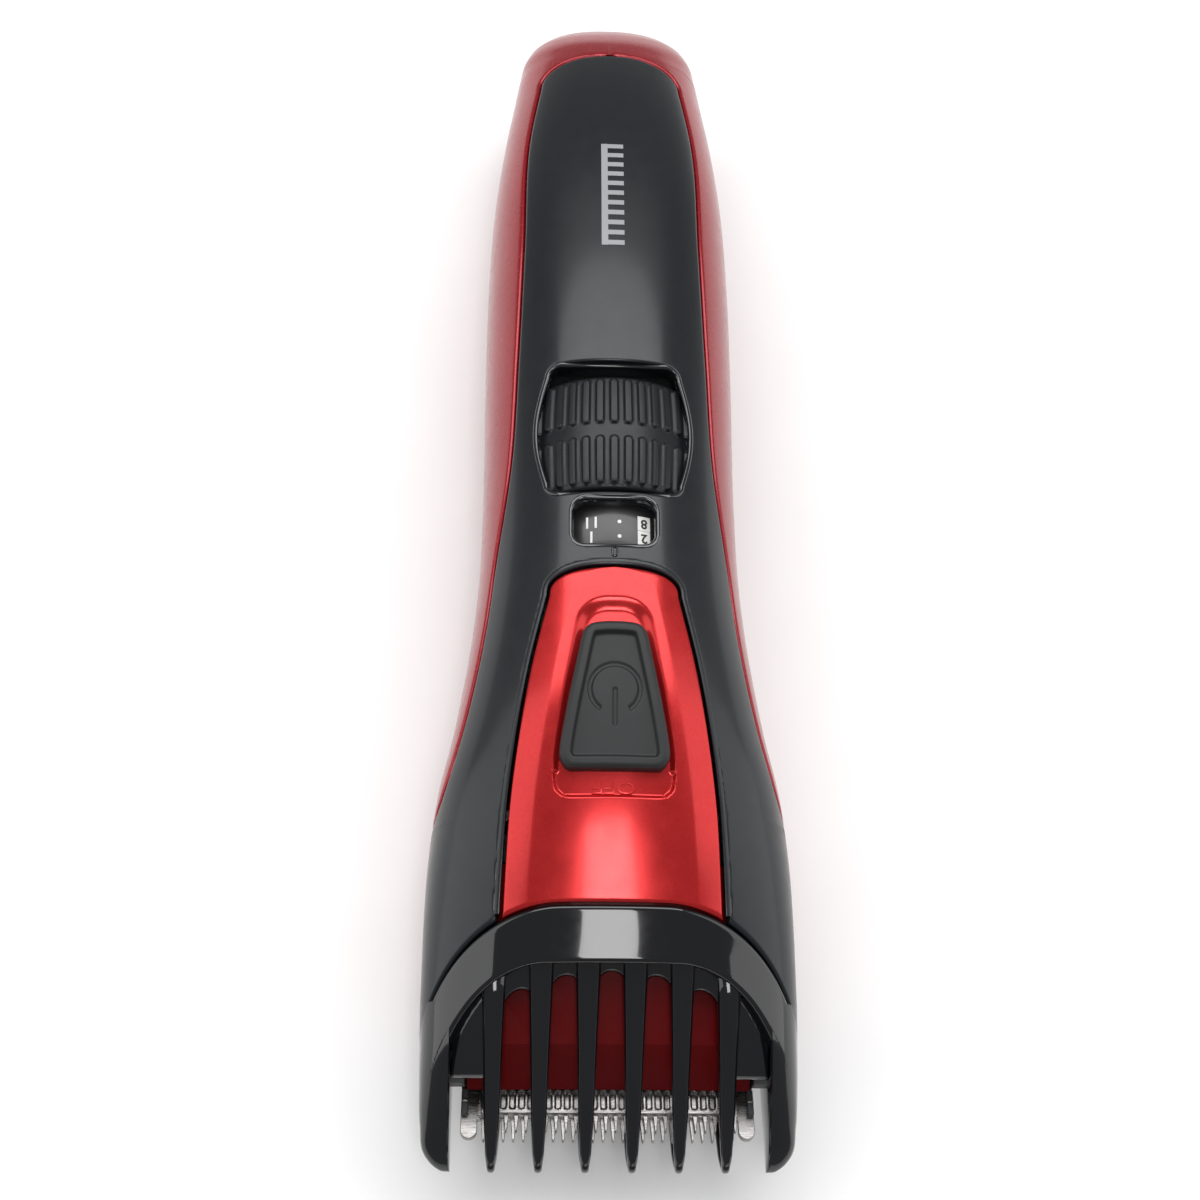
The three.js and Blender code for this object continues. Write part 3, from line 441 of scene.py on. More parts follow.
WHITE = material("print_white", (0.78, 0.78, 0.76), 0.5, bump=0.02)
GREY_PRINT = material("print_grey", (0.30, 0.31, 0.32), 0.45, bump=0.02)
INK = material("print_black", (0.01, 0.01, 0.01), 0.5, bump=0.02)
INK_DRUM = material("drum_black", (0.02, 0.02, 0.021), 0.35, coat=0.3, bump=0.02)
INNER = material("inner_plastic", (0.045, 0.047, 0.05), 0.5, bump=0.08)
RESIN = material("white_resin", (0.72, 0.72, 0.68), 0.45, bump=0.05)
BRASS = material("brass", (0.60, 0.42, 0.16), 0.3, metal=1.0, bump=0.05, vary=0.12)
CELL = material("cell_wrap", (0.05, 0.18, 0.34), 0.32, coat=0.4, bump=0.02, streak=(1, 6, 1))
BOARD = material("board_green", (0.015, 0.11, 0.045), 0.4, coat=0.5, bump=0.1, grain=2400, vary=0.2)
LIGHT_GUIDE = material("light_guide", (0.62, 0.72, 0.60), 0.2, coat=0.5, bump=0.0)


# ------------------------------------------------------------------ black cover
def follow_hood(y, x, reach=34.0):
    """Bends rows near the front to the sweep of the hood's rear edge, fading out behind it."""
    fade = 1 - ease((y - HOOD_REAR) / reach)
    return y + (hood_rear(x) - HOOD_REAR) * fade


def cut_holes(points, faces, outlines):
    """Drops the faces inside the outlines and pulls the vertices along them onto a slightly rounded edge."""
    flat = points.reshape(-1, 3).copy()
    plan = flat[:, :2]
    inside = np.zeros(len(flat), bool)
    for outline in outlines:
        low, high = outline.min(0) - 1.5, outline.max(0) + 1.5
        near = np.where(((plan > low) & (plan < high)).all(1) & (flat[:, 2] > MID + 1))[0]
        distance, closest = nearest_on(plan[near], outline)
        snap = near[distance < 0]
        inside[snap] = True
        flat[snap, :2] = closest[distance < 0]
        flat[snap, 2] = top_z(flat[snap, 0], flat[snap, 1])
        flat[near, 2] -= round_over(np.clip(distance, 0, None), HOLE_EDGE)
    return flat, [f for f in faces if not all(inside[list(f)])]


def panel_outline():
    """Outline in plan of the recess that takes the panel."""
    last = PANEL_HALF[-1, 0]
    sweep = last + (PANEL_END + PANEL_GAP - last) * np.sin(np.linspace(0, math.pi / 2, 40))[1:]
    y = np.r_[np.linspace(-75, last, 160), sweep]
    half = panel_half(y, PANEL_GAP)
    return np.vstack([np.stack([half, y], 1), np.stack([-half, y], 1)[::-1][1:]])


def top_cover():
    tail = COVER_HALF[-1, 0]
    sweep = np.sin(np.linspace(0, math.pi / 2, 34))[1:]
    start = HOOD_REAR + SEAM
    y0 = np.r_[start + np.array([0, 0.05, 0.15, 0.3]), np.arange(start + 0.6, tail, 0.33),
               tail, tail + (COVER_END - tail) * sweep]
    u = spaced(60, 165, 0.5)
    rows = []
    for y in y0:
        base = width_angle(y, cover_half(y))
        angle = even_angles(y, base, math.pi - base, u)
        bent = follow_hood(y, surface(y, angle)[:, 0])
        base = width_angle(bent, cover_half(bent))
        angle = base + (angle - angle[0]) / max(1e-9, angle[-1] - angle[0]) * (math.pi - 2 * base)
        rows.append(surface(bent, angle))
    points = np.array(rows)
    normal = grid_normals(points)
    rims = np.vstack([dense(points[0]), dense(points[:, 0]), dense(points[:, -1])])
    points = points - normal * round_over(rim_distance(points, rims), PARTING_EDGE)[..., None]
    holes = [offset_outline(outline, RIM) for outline in (panel_outline(), WHEEL_HOLE, WINDOW_HOLE)]
    flat, faces = cut_holes(points, grid_faces(*points.shape[:2]), holes)
    inner = flat - normal.reshape(-1, 3) * SHELL_WALL
    return shell("cover_shell", flat, inner, faces, "body", COVER, replaces=("top_cover",),
                 slot="black_cover")


def rim(name, outline, steps, mat, front=None):
    """A ring that follows an outline on the top surface; each step is a move outwards and a drop.

    With a front given, the ring is open and ends there.
    """
    rings = []
    for out, drop in steps:
        ring = offset_outline(outline, out)
        rings.append(np.column_stack([ring, top_z(ring[:, 0], ring[:, 1]) - drop]))
    count = len(outline)
    rings.append(np.column_stack([offset_outline(outline, steps[-1][0] + 0.6), rings[-1][:, 2] - 0.4]))
    rings.append(rings[0] - (0, 0, 0.9))
    points = np.array(rings)
    if front is not None:
        points = points[:, outline[:, 1] > front]
        count = points.shape[1]
    whole = front is None
    faces = grid_faces(len(rings), count, wrap=whole)
    faces += close_ring(len(rings), count)[: count if whole else count - 1]
    if not whole:
        faces += [tuple(i * count + end for i in range(len(rings))) for end in (0, count - 1)]
    return make(name, points.reshape(-1, 3), faces, "body", mat, slot="black_cover", smooth=50)


top_cover()
CREST = [(0.8, 0.12), (0.72, -0.03)]  # every rim starts under the cover's edge and rises over it
rim("wheel_rim", WHEEL_HOLE,
    CREST + [(0.5, -0.06), (0.3, -0.05), (0.15, 0.05), (0.04, 0.25), (0, 0.6), (0, 2.6)], GLOSS)
rim("panel_rim", panel_outline(), CREST + [(0.5, -0.05), (0.3, -0.04), (0.08, 0.04), (0, 0.22), (0, 1.2)],
    COVER, front=-64.4)
rim("window_rim", WINDOW_HOLE,
    CREST + [(0.5, -0.04), (0.3, 0.04), (0.15, 0.3), (0.04, 0.6), (0, 1.0), (0, 2.0)], GLOSS)


# ------------------------------------------------------------------ red housing
HOUSING_FRONT = -81.6
FLOOR_WALL = 0.9  # least height of the inside above the flat it rests on
INLET_HOLE = 3.6


def lower_housing():
    front = HOUSING_FRONT
    tail = COVER_HALF[-1, 0]
    sweep = np.sin(np.linspace(0, math.pi / 2, 34))[1:]
    end = COVER_END + SEAM
    y0 = np.r_[front + np.array([0, 0.05, 0.15, 0.35]), np.arange(front + 0.9, tail, 0.6), tail,
               tail + (end - tail) * sweep, np.arange(end + 0.12, BUTT - 4, 0.35),
               BUTT - 4 * np.cos(np.linspace(0, 1.5, 26))]
    u = spaced(90, 190, 0.5)
    rows = []
    for y in y0:
        base = float(width_angle(y, cover_half(y, SEAM)))
        _, _, bottom, mid, square = form(y)[0]
        below = math.asin((SEAM / (mid - bottom)) ** (square / 2))
        start = base if base >= 0.02 else -below
        angle = even_angles(y, start, -math.pi - start, u)
        x = surface(y, angle)[:, 0]
        fade = 1 - ease((y - front) / 26)
        sweep_back = np.maximum(arch(x, -72.0, 17, 26.2, 9.4), front) - front
        bent = y + sweep_back * fade * (surface(y, angle)[:, 2] < MID)
        rows.append(surface(np.minimum(bent, BUTT), angle))
    points = np.array(rows)[:, ::-1]
    normal = grid_normals(points)
    edge = y0 < end
    rims = np.vstack([dense(points[0]), dense(points[edge, 0]), dense(points[edge, -1])])
    points = points - normal * round_over(rim_distance(points, rims), PARTING_EDGE)[..., None]
    points[..., 2] = np.maximum(points[..., 2], 0)
    flat = points.reshape(-1, 3)
    faces = grid_faces(*points.shape[:2])
    radius = np.hypot(flat[:, 0], flat[:, 2] - MID)
    gone = (radius < INLET_HOLE) & (flat[:, 1] > BUTT - 5)
    faces = [f for f in faces if not all(gone[list(f)])]
    inner = flat - normal.reshape(-1, 3) * SHELL_WALL
    inner[:, 2] = np.maximum(inner[:, 2], FLOOR_WALL)
    return shell("housing_shell", flat, inner, faces, "body", RED, replaces=("lower_housing",),
                 slot="red_shell")


# ------------------------------------------------------------------ panel and switch
KNOB_FRONT, KNOB_REAR = -46.1, -25.7
KNOB_SUNK = 0.5  # how far the knob reaches below the panel's surface
POCKET_DEPTH = 0.85
KNOB = np.array([(0, KNOB_FRONT), (5.2, KNOB_FRONT), (6.5, -45.75), (7.3, -44.6), (7.4, -43.4), (7.0, -40.5),
                 (6.1, -35.5), (5.0, -30), (4.6, -28), (4.15, -26.8), (3.2, -26.0), (1.6, -25.75),
                 (0, KNOB_REAR)], float)


def mirror_outline(half, fine=8):
    """A closed outline from its +X half, with rounded extra points."""
    t = np.arange(len(half))
    s = np.linspace(0, len(half) - 1, fine * (len(half) - 1) + 1)
    smooth = np.column_stack([smooth_path(np.column_stack([t, half[:, k]]), s) for k in (0, 1)])
    return np.vstack([smooth[1:-1], smooth[1:-1][::-1] * (-1, 1)])


KNOB_OUTLINE = mirror_outline(KNOB)
POCKET = np.array([(0, -49.4), (6.0, -49.4), (7.2, -49.0), (7.95, -47.8), (8.1, -44), (7.3, -38), (6.2, -31),
                   (5.6, -26.5), (5.0, -24.2), (3.6, -22.6), (1.8, -21.9), (0, -21.8)], float)
POCKET_OUTLINE = mirror_outline(POCKET)


def switch_panel():
    last = PANEL_HALF[-1, 0]
    sweep = np.sin(np.linspace(0, math.pi / 2, 22))[1:]
    start = HOOD_REAR + SEAM
    y0 = np.r_[start + np.array([0, 0.05, 0.15]), np.arange(start + 0.5, last, 0.21), last,
               last + (PANEL_END - last) * sweep]
    u = spaced(28, 130, 0.45) * 2 - 1
    half = panel_half(y0)[:, None]
    x = -half * u[None, :]
    y = follow_hood(np.repeat(y0[:, None], len(u), 1), x, 12)
    side = np.clip(1 - (half - np.abs(x)) / 3.4, 0, 1)
    z = top_z(x, y) - 0.22 * side
    points = np.stack([x, y, z], -1)
    normal = grid_normals(points)
    rims = np.vstack([dense(points[0]), dense(points[:, 0]), dense(points[:, -1])])
    points = points - normal * round_over(rim_distance(points, rims), 0.4)[..., None]
    flat = points.reshape(-1, 3)
    near = np.where((flat[:, 1] < -20) & (flat[:, 1] > -52) & (np.abs(flat[:, 0]) < 10))[0]
    distance, _ = nearest_on(flat[near, :2], POCKET_OUTLINE)
    slope = np.where(flat[near, 1] < -46, 0.5, 0.95 + 1.1 * ease((flat[near, 1] + 36) / 10))
    flat[near, 2] -= POCKET_DEPTH * ease((0.2 - distance) / slope)
    inner = flat - normal.reshape(-1, 3) * SHELL_WALL
    return shell("panel_shell", flat, inner, grid_faces(*points.shape[:2]), "body", PANEL_RED,
                 replaces=("switch_panel",), slot="red_panel")


def power_switch():
    """The knob: a raised border, a sunk field and a standby sign let into it, open towards the blades."""
    sign_y = -35.2
    y = np.r_[KNOB_FRONT + np.array([0, 0.06, 0.15]), np.arange(-45.8, -26, 0.14), -25.9, -25.78, KNOB_REAR]
    order = np.argsort(KNOB_OUTLINE[: len(KNOB_OUTLINE) // 2, 1])
    right = KNOB_OUTLINE[: len(KNOB_OUTLINE) // 2][order]
    half = np.interp(y, right[:, 1], right[:, 0])[:, None]
    half[[0, -1]] = 2.0
    u = spaced(15, 118, 0.3) * 2 - 1
    x = -half * u[None, :]
    y = np.repeat(y[:, None], len(u), 1)
    plan = np.stack([x.ravel(), y.ravel()], 1)
    inside = -nearest_on(plan, KNOB_OUTLINE)[0]
    height = 0.95 - round_over(inside, 0.85) - 0.85 * ease((inside - 1.35) / 0.6)
    ahead = -(plan[:, 1] - sign_y)
    ring = np.abs(np.hypot(plan[:, 0], ahead) - 3.4)
    gap = np.abs(np.arctan2(plan[:, 0], ahead)) < 0.62
    bar = np.hypot(plan[:, 0], np.clip(np.abs(ahead - 2.5) - 2.3, 0, None))
    groove = np.minimum(np.where(gap, 9, ring), bar)
    height -= 0.26 * ease((0.42 - groove) / 0.26)
    z = top_z(x, y).ravel() + height + 0.4
    flat = np.column_stack([plan, z])
    base = np.column_stack([plan, top_z(x, y).ravel() - KNOB_SUNK])
    return shell("switch_knob_shell", flat, base, grid_faces(*x.shape), "switch_knob", RUBBER,
                 replaces=("power_switch",), slot="soft_black", smooth=50)


def text_mesh(words, size, depth):
    """Vertices in millimetres and faces of raised plain lettering, flat on the x-y plane."""
    curve = bpy.data.curves.new("words", "FONT")
    curve.body = words
    curve.size = size
    curve.extrude = depth / 2
    curve.bevel_depth = 0.04
    curve.align_x, curve.align_y = "CENTER", "CENTER"
    curve.resolution_u = 3
    temp = bpy.data.objects.new("words", curve)
    bpy.context.scene.collection.objects.link(temp)
    bpy.context.view_layer.update()
    made = temp.evaluated_get(bpy.context.evaluated_depsgraph_get()).to_mesh()
    verts = np.array([v.co[:] for v in made.vertices])
    faces = [tuple(p.vertices) for p in made.polygons]
    bpy.data.objects.remove(temp)
    return verts, faces


def lettering():
    """The word OFF, raised in the pocket in front of the knob and read from the blades' end."""
    verts, faces = text_mesh("OFF", 2.3, 0.36)
    verts = verts * (-1.5, -1, 1)
    x, y = verts[:, 0], verts[:, 1] - 48.1
    z = top_z(x, y) - POCKET_DEPTH + 0.03 + verts[:, 2]
    return make("off_word", np.column_stack([x, y, z]), faces, "body", PANEL_RED, slot="red_panel", smooth=30)


def pointer_mark():
    """A small raised pill that points at the window."""
    outline = rounded_box(0.5, -0.8, 0.8, 0.45, count=6) + (0, -15.0)
    steps = [(0.0, 0.0), (0.0, -0.12), (-0.08, -0.2), (-0.2, -0.22), (-0.3, -0.1)]
    rings = [np.column_stack([offset_outline(outline, o), top_z(*outline.T) - d]) for o, d in steps]
    rings.append(np.column_stack([offset_outline(outline, -0.3), top_z(*outline.T)]))
    count = len(outline)
    faces = grid_faces(len(rings), count, wrap=True) + caps(len(rings), count)
    return make("pointer_mark", np.vstack(rings), faces, "body", GLOSS, slot="black_cover", smooth=40)


def comb_sign():
    """A plain comb printed on the cover: one long bar and a row of short ones."""
    def bar(x0, x1, y0, y1):
        rows = np.linspace(y0, y1, max(2, int((y1 - y0) / 1.5) + 2))
        x, y = np.meshgrid(np.linspace(x0, x1, 3), rows)
        base = np.stack([x, y, top_z(x, y)], -1).reshape(-1, 3)
        verts = np.vstack([base + (0, 0, 0.05), base + (0, 0, 0.015)])
        return verts, thickened(grid_faces(*x.shape), x.size)

    teeth = [bar(-0.75, 1.75, y - 0.45, y + 0.45) for y in np.linspace(38, 58, 11)]
    verts, faces = joined([bar(-1.75, -0.75, 37.5, 58.5)] + teeth)
    return make("comb_sign", verts, faces, "body", GREY_PRINT, slot="black_cover", smooth=30)


lower_housing()
switch_panel()
power_switch()
lettering()
pointer_mark()
comb_sign()


# ------------------------------------------------------------------ setting wheel and number drum
WHEEL_REAR, WHEEL_FRONT, WHEEL_RADIUS, WHEEL_BORE = 13.9, -4.7, 16.0, 12.6
RIBS = 48
BANDS = ((-3.9, 3.4), (5.7, 13.1))  # from and to of the two rows of ribs


def ring_surface(y, angle, radius):
    return np.stack([radius * np.sin(angle), y, AXIS + radius * np.cos(angle)], -1)


def zoom_wheel():
    y = np.r_[WHEEL_FRONT + np.array([0, 0.05, 0.15, 0.35, 0.6]), np.arange(-3.95, 13.15, 0.15),
              WHEEL_REAR - np.array([0.6, 0.35, 0.15, 0.05, 0])]
    angle = np.arange(RIBS * 10) * (2 * math.pi / (RIBS * 10))
    y, angle = np.meshgrid(y, angle, indexing="ij")
    middle = (WHEEL_REAR + WHEEL_FRONT) / 2
    radius = WHEEL_RADIUS - 0.5 - 0.55 * ((y - middle) / 9.3) ** 2
    radius -= round_over(np.minimum(y - WHEEL_FRONT, WHEEL_REAR - y), 0.6)
    pitch = 2 * math.pi / RIBS
    across = np.abs((angle / pitch + 0.5) % 1 - 0.5) * pitch * WHEEL_RADIUS
    for low, high in BANDS:
        past = np.clip(np.maximum(low + 0.45 - y, y - high + 0.45), 0, None)
        radius += 0.5 * ease((0.72 - np.hypot(across, past)) / 0.34)
    outer = ring_surface(y, angle, radius).reshape(-1, 3)
    inner = ring_surface(y, angle, np.full(y.shape, WHEEL_BORE)).reshape(-1, 3)
    return shell("wheel_ring", outer, inner, grid_faces(*y.shape, wrap=True), "wheel", WHEEL,
                 replaces=("zoom_wheel",), slot="soft_black", smooth=45)


DRUM_REAR, DRUM_FRONT, DRUM_RADIUS = -5.0, -15.2, 13.3
NUMBER_ROWS = (-9.2, -11.5)
SETS = 5  # sets of numbers round the drum
LENGTHS = ((11, 3, 5, 7, 9), (1, 2, 4, 6, 10))  # plain numbers of the two rows


def wrap_on_drum(verts, centre_x, centre_y, lift):
    """Flat points wrapped on the drum: x goes round it, y runs along it."""
    angle = (centre_x + verts[:, 0]) / DRUM_RADIUS
    radius = DRUM_RADIUS + lift + verts[:, 2]
    return np.column_stack([radius * np.sin(angle), centre_y + verts[:, 1], AXIS + radius * np.cos(angle)])


def plate(half_x, half_y, thick):
    """A thin plate split across, so that it bends when it is wrapped."""
    cols = np.linspace(-half_x, half_x, 7)
    points = [(x, y, z) for z in (thick, 0) for y in (-half_y, half_y) for x in cols]
    return np.array(points), thickened(grid_faces(2, 7), 14)


def number_drum():
    sides = 160
    angle = np.arange(sides) * (2 * math.pi / sides)
    bore = WHEEL_BORE - 2.2
    half_profile = [(0, bore), (0, DRUM_RADIUS - 0.3), (0.1, DRUM_RADIUS - 0.1), (0.3, DRUM_RADIUS)]
    profile = [(DRUM_REAR - step, r) for step, r in half_profile]
    profile += [(DRUM_FRONT + step, r) for step, r in reversed(half_profile)]
    points = np.array([ring_surface(np.full(sides, y), angle, np.full(sides, r)) for y, r in profile])
    faces = grid_faces(len(profile), sides, wrap=True) + close_ring(len(profile), sides)
    make("drum_ring", points.reshape(-1, 3), faces, "wheel", INK_DRUM, replaces=("number_drum",),
         slot="soft_black")
    white, black = [], []
    turn = np.arange(10) * (2 * math.pi / 10)
    dot = np.array([(0.28 * math.cos(a), 0.28 * math.sin(a), z) for z in (0.05, 0) for a in turn])
    dot_faces = thickened([tuple(range(10))], 10)
    box, box_faces = plate(0.95, 1.12, 0.04)
    for i in range(SETS):
        place = -3.2 + i * 2 * math.pi * DRUM_RADIUS / SETS
        for y, values, first_boxed in zip(NUMBER_ROWS, LENGTHS, (7, 1)):
            verts, faces = text_mesh(str(values[i]), 2.5, 0.05)
            white.append((wrap_on_drum(verts * (-1, -1, 1), place, y, 0.02), faces))
            white += [(wrap_on_drum(dot, place + along, y, 0.0), dot_faces) for along in (4.0, 12.0)]
            white.append((wrap_on_drum(box, place + 7.6, y, 0.0), box_faces))
            verts, faces = text_mesh(str((i * 3 + first_boxed) % 9 + 1), 2.0, 0.05)
            black.append((wrap_on_drum(verts * (-1, -1, 1), place + 7.6, y, 0.06), faces))
    make("drum_print_white", *joined(white), "wheel", WHITE, slot="white_resin", smooth=30)
    make("drum_print_black", *joined(black), "wheel", INK, slot="soft_black", smooth=30)


# ------------------------------------------------------------------ guide comb
COMB_WALL = 1.6
TOOTH_PITCH_X = 6.2
TOOTH_X = [(i - 2.5) * TOOTH_PITCH_X for i in range(6)]
PLATE_FACE = 20.9  # inner face of the two outer plates


def comb_hoop():
    """The arch over the head, from one side to the other, with flat facets between soft creases."""
    t = np.linspace(-1, 1, 301)
    angle = math.pi / 2 + t * (math.pi / 2 - 0.02)
    across = np.r_[0, 0.008, 0.025, 0.06, 0.11, np.linspace(0.17, 0.83, 18), 0.89, 0.94, 0.975, 0.992, 1]
    x0 = surface(np.full(t.shape, -67.0), angle)[:, 0]
    x0 = np.clip(x0, -25.3, 25.3)
    rear, front = hood_rear(x0), hood_front(np.clip(x0, -25.19, 25.19))
    y = rear[None, :] + (front - rear)[None, :] * across[:, None]
    points = surface(y, np.repeat(angle[None, :], len(across), 0))
    facet = 0.16 * np.cos(np.clip(np.abs(np.abs(points[..., 0]) - 12.3) / 3.4, 0, 1) * math.pi / 2)
    points[..., 2] -= facet * ease(1 - np.abs(points[..., 0]) / 40)
    points = points[::-1]
    normal = grid_normals(points)
    rims = np.vstack([dense(points[0]), dense(points[-1])])
    points = points - normal * round_over(rim_distance(points, rims), 0.5)[..., None]
    inner = points - normal * COMB_WALL
    return points.reshape(-1, 3), inner.reshape(-1, 3), grid_faces(*points.shape[:2])


def comb_plate(side):
    """One outer plate: it fills the form from its inner face outwards, up to a rounded nose."""
    places = np.r_[COMB_TIP + np.array([0, 0.06, 0.2, 0.5, 0.9]), np.arange(COMB_TIP + 1.3, -74, 0.45)]
    rings = []
    for y in places:
        pinch = round_over(y - COMB_TIP, 1.2) * 0.8
        top = float(width_angle(y, PLATE_FACE + 0.2))
        x, z = section(form(y)[0], np.linspace(top, -1.45, 240), pinch)
        keep = x >= PLATE_FACE + 0.25
        x, z = x[keep], z[keep]
        run = np.r_[0, np.cumsum(np.hypot(np.diff(x), np.diff(z)))]
        at = np.linspace(0, run[-1], 44)
        x, z = np.interp(at, run, x), np.interp(at, run, z)
        inner_z = np.linspace(z[-1], z[0], 20)[1:-1]
        soft = 0.12 * np.cos((inner_z - inner_z.mean()) / (np.ptp(inner_z) / 2 + 1e-6) * math.pi / 2)
        ring = [(side * a, y, b) for a, b in zip(x, z)]
        ring += [(side * (PLATE_FACE + 0.12 - c), y, b) for b, c in zip(inner_z, soft)]
        rings.append(ring)
    count = len(rings[0])
    return np.array(rings).reshape(-1, 3), grid_faces(len(rings), count, wrap=True) + caps(len(rings), count)


def comb_tooth(x):
    """One tooth: a bar that leaves the hoop, runs to the tip, turns round it and comes back underneath."""
    upper = np.linspace(-69.5, -93.6, 34)
    back = upper - COMB_TIP
    top, low = 16.4 + back * 0.465, 14.9 + back * 0.428
    roof = top_z(np.full(upper.shape, x), upper, 0.7)
    top, low = np.minimum(top, roof), np.minimum(low, roof - 1.2)
    path = [(y, (a + b) / 2, (a - b) / 2) for y, a, b in zip(upper, top, low)]
    for turn in np.radians(np.linspace(20, 160, 9)):
        path.append((-93.6 - 0.95 * math.sin(turn), 14.95 + 0.85 * math.cos(turn), 0.62))
    path += [(y, form(y)[0, 2] + 0.95, 0.65) for y in np.linspace(-93.4, -76.5, 22)]
    path = np.array(path)
    along = np.gradient(path[:, :2], axis=0)
    along /= np.linalg.norm(along, axis=1)[:, None]
    normal = np.column_stack([along[:, 1], -along[:, 0]])
    ring = np.arange(20) * (2 * math.pi / 20)
    c, s = (np.sign(v) * np.abs(v) ** 0.8 for v in (np.cos(ring), np.sin(ring)))
    wide = np.interp(path[:, 0], [-95, -93, -88, -81, -70], [0.46, 0.78, 1.08, 1.3, 1.7])
    rings = [np.column_stack([x + w * c, y + n[0] * thick * s, z + n[1] * thick * s])
             for (y, z, thick), n, w in zip(path, normal, wide)]
    return np.vstack(rings), grid_faces(len(rings), len(ring), wrap=True) + caps(len(rings), len(ring))


def comb_under():
    """The bar across the underside that ties the teeth's lower legs."""
    t = np.linspace(-1, 1, 161)
    angle = -math.pi / 2 + t * (math.pi / 2 - 0.35)
    across = np.r_[0, 0.02, 0.07, 0.15, np.linspace(0.25, 0.75, 8), 0.85, 0.93, 0.98, 1]
    x0 = surface(np.full(t.shape, -75.0), angle)[:, 0]
    rear, front = np.maximum(arch(x0, -72.3, 17, 26.1, 8), -79), arch(x0, -77.5, 17, 27, 3)
    y = rear[None, :] + (front - rear)[None, :] * across[:, None]
    points = surface(y, np.repeat(angle[None, :], len(across), 0))
    normal = -grid_normals(points)
    rims = np.vstack([dense(points[0]), dense(points[-1])])
    points = points - normal * round_over(rim_distance(points, rims), 0.4)[..., None]
    inner = points - normal * COMB_WALL
    return points.reshape(-1, 3), inner.reshape(-1, 3), grid_faces(*points.shape[:2])


SLOT_HALF, CHEEK_X = 1.75, 16.2


def web_front(x):
    """Front edge of the web: a round end to each slot, and a solid cheek beside the outer plates."""
    gap = np.abs(np.abs(x) - TOOTH_PITCH_X * np.round(np.abs(x) / TOOTH_PITCH_X))  # off a slot's middle
    slot = -70.9 - 0.0156 * x**2 + 1.5 * np.sqrt(np.clip(1 - (gap / SLOT_HALF) ** 2, 0, 1)) - 1.5
    cheek, root = -83.8, -76.0
    return np.where(np.abs(x) > CHEEK_X, cheek, np.where(gap > SLOT_HALF, root, slot))


def comb_web():
    """The web under the hoop, between the teeth's roots."""
    steps = [side * (CHEEK_X + by) for side in (-1, 1) for by in (-0.01, 0.01)]
    x = np.unique(np.round(np.r_[np.linspace(-PLATE_FACE, PLATE_FACE, 330), steps], 4))
    across = np.r_[0, 0.03, 0.1, np.linspace(0.2, 1, 14)]
    front = web_front(x)
    rear = np.maximum(hood_rear(x) - 1.5, front + 1)
    y = front[None, :] + (rear - front)[None, :] * across[:, None]
    x = np.repeat(x[None, :], len(across), 0)
    roof = top_z(x, y, COMB_WALL + 0.1)
    deck = np.minimum(15.9 + (y - COMB_TIP) * 0.45, roof)
    lower = deck - 1.1
    soft = round_over(y - front[None, :], 0.5)
    outer = np.stack([x, y, deck - soft], -1)
    inner = np.stack([x, y, lower + soft * 0.6], -1)
    return outer.reshape(-1, 3), inner.reshape(-1, 3), grid_faces(*x.shape)


def guide_comb():
    for name, part in (("comb_hoop", comb_hoop), ("comb_under_bar", comb_under), ("comb_web", comb_web)):
        shell(name, *part(), "comb", COMB, replaces=("guide_comb",), slot="comb_black")
    for i, side in enumerate((-1, 1)):
        verts, faces = comb_plate(side)
        make(f"comb_plate_{i + 1}", verts, faces, "comb", COMB, slot="comb_black", smooth=50)
    for i, x in enumerate(TOOTH_X):
        verts, faces = comb_tooth(x)
        make(f"comb_tooth_{i + 1}", verts, faces, "comb", COMB, slot="comb_black", smooth=50)


# ------------------------------------------------------------------ blades
BLADE_TILT = math.radians(15)
FIXED_TIP, SKIN_AT_TIP = -91.3, 13.8
FIXED_THICK, MOVING_THICK = 1.0, 0.9
TEETH, TOOTH_PITCH = 26, 1.33
BAND_FRONT, BAND_REAR, BAND_HALF = -88.3, -84.7, 17.0


def on_blades(points):
    """From places along the blades' own plane, measured back from the fixed tips, to the row frame."""
    x, along, up = points.T
    c, s = math.cos(BLADE_TILT), math.sin(BLADE_TILT)
    return np.column_stack([x, FIXED_TIP + along * c + up * s, SKIN_AT_TIP - along * s + up * c])


def toothed_plate(name, half, front, rear, root, low, high, tip_half, root_half, phase, corner, **more):
    """A flat plate with tapered teeth along its front edge and, if asked, a round tab at each corner."""
    radius = (half - corner) / 2

    def tab(middle):
        turn = np.radians(np.linspace(180, 360, 13))
        return [(middle + radius * math.cos(a), front + radius + 0.3 + radius * math.sin(a)) for a in turn]

    edge = tab(radius - half) + [(-corner, root)] if corner else [(-half, root)]
    tooth = ((root_half, root), (tip_half, front + 0.25), (tip_half / 2, front))
    for i in range(TEETH):
        x = (i - (TEETH - 1) / 2) * TOOTH_PITCH + phase
        edge += [(x - a, y) for a, y in tooth] + [(x + a, y) for a, y in reversed(tooth)]
    edge += [(corner, root)] + tab(half - radius) if corner else [(half, root)]
    edge = np.array(edge + [(half, rear), (-half, rear)])
    count = len(edge)
    levels = [np.column_stack([edge, np.full(count, z)]) for z in (low, high)]
    faces = [tuple(range(count)), tuple(reversed(range(count, 2 * count)))]
    faces += [(i, (i + 1) % count, (i + 1) % count + count, i + count) for i in range(count)]
    made = make(name, on_blades(np.vstack(levels)), faces, material=STEEL, slot="blade_steel", smooth=25,
                **more)
    soften(made, 0.06, 2)


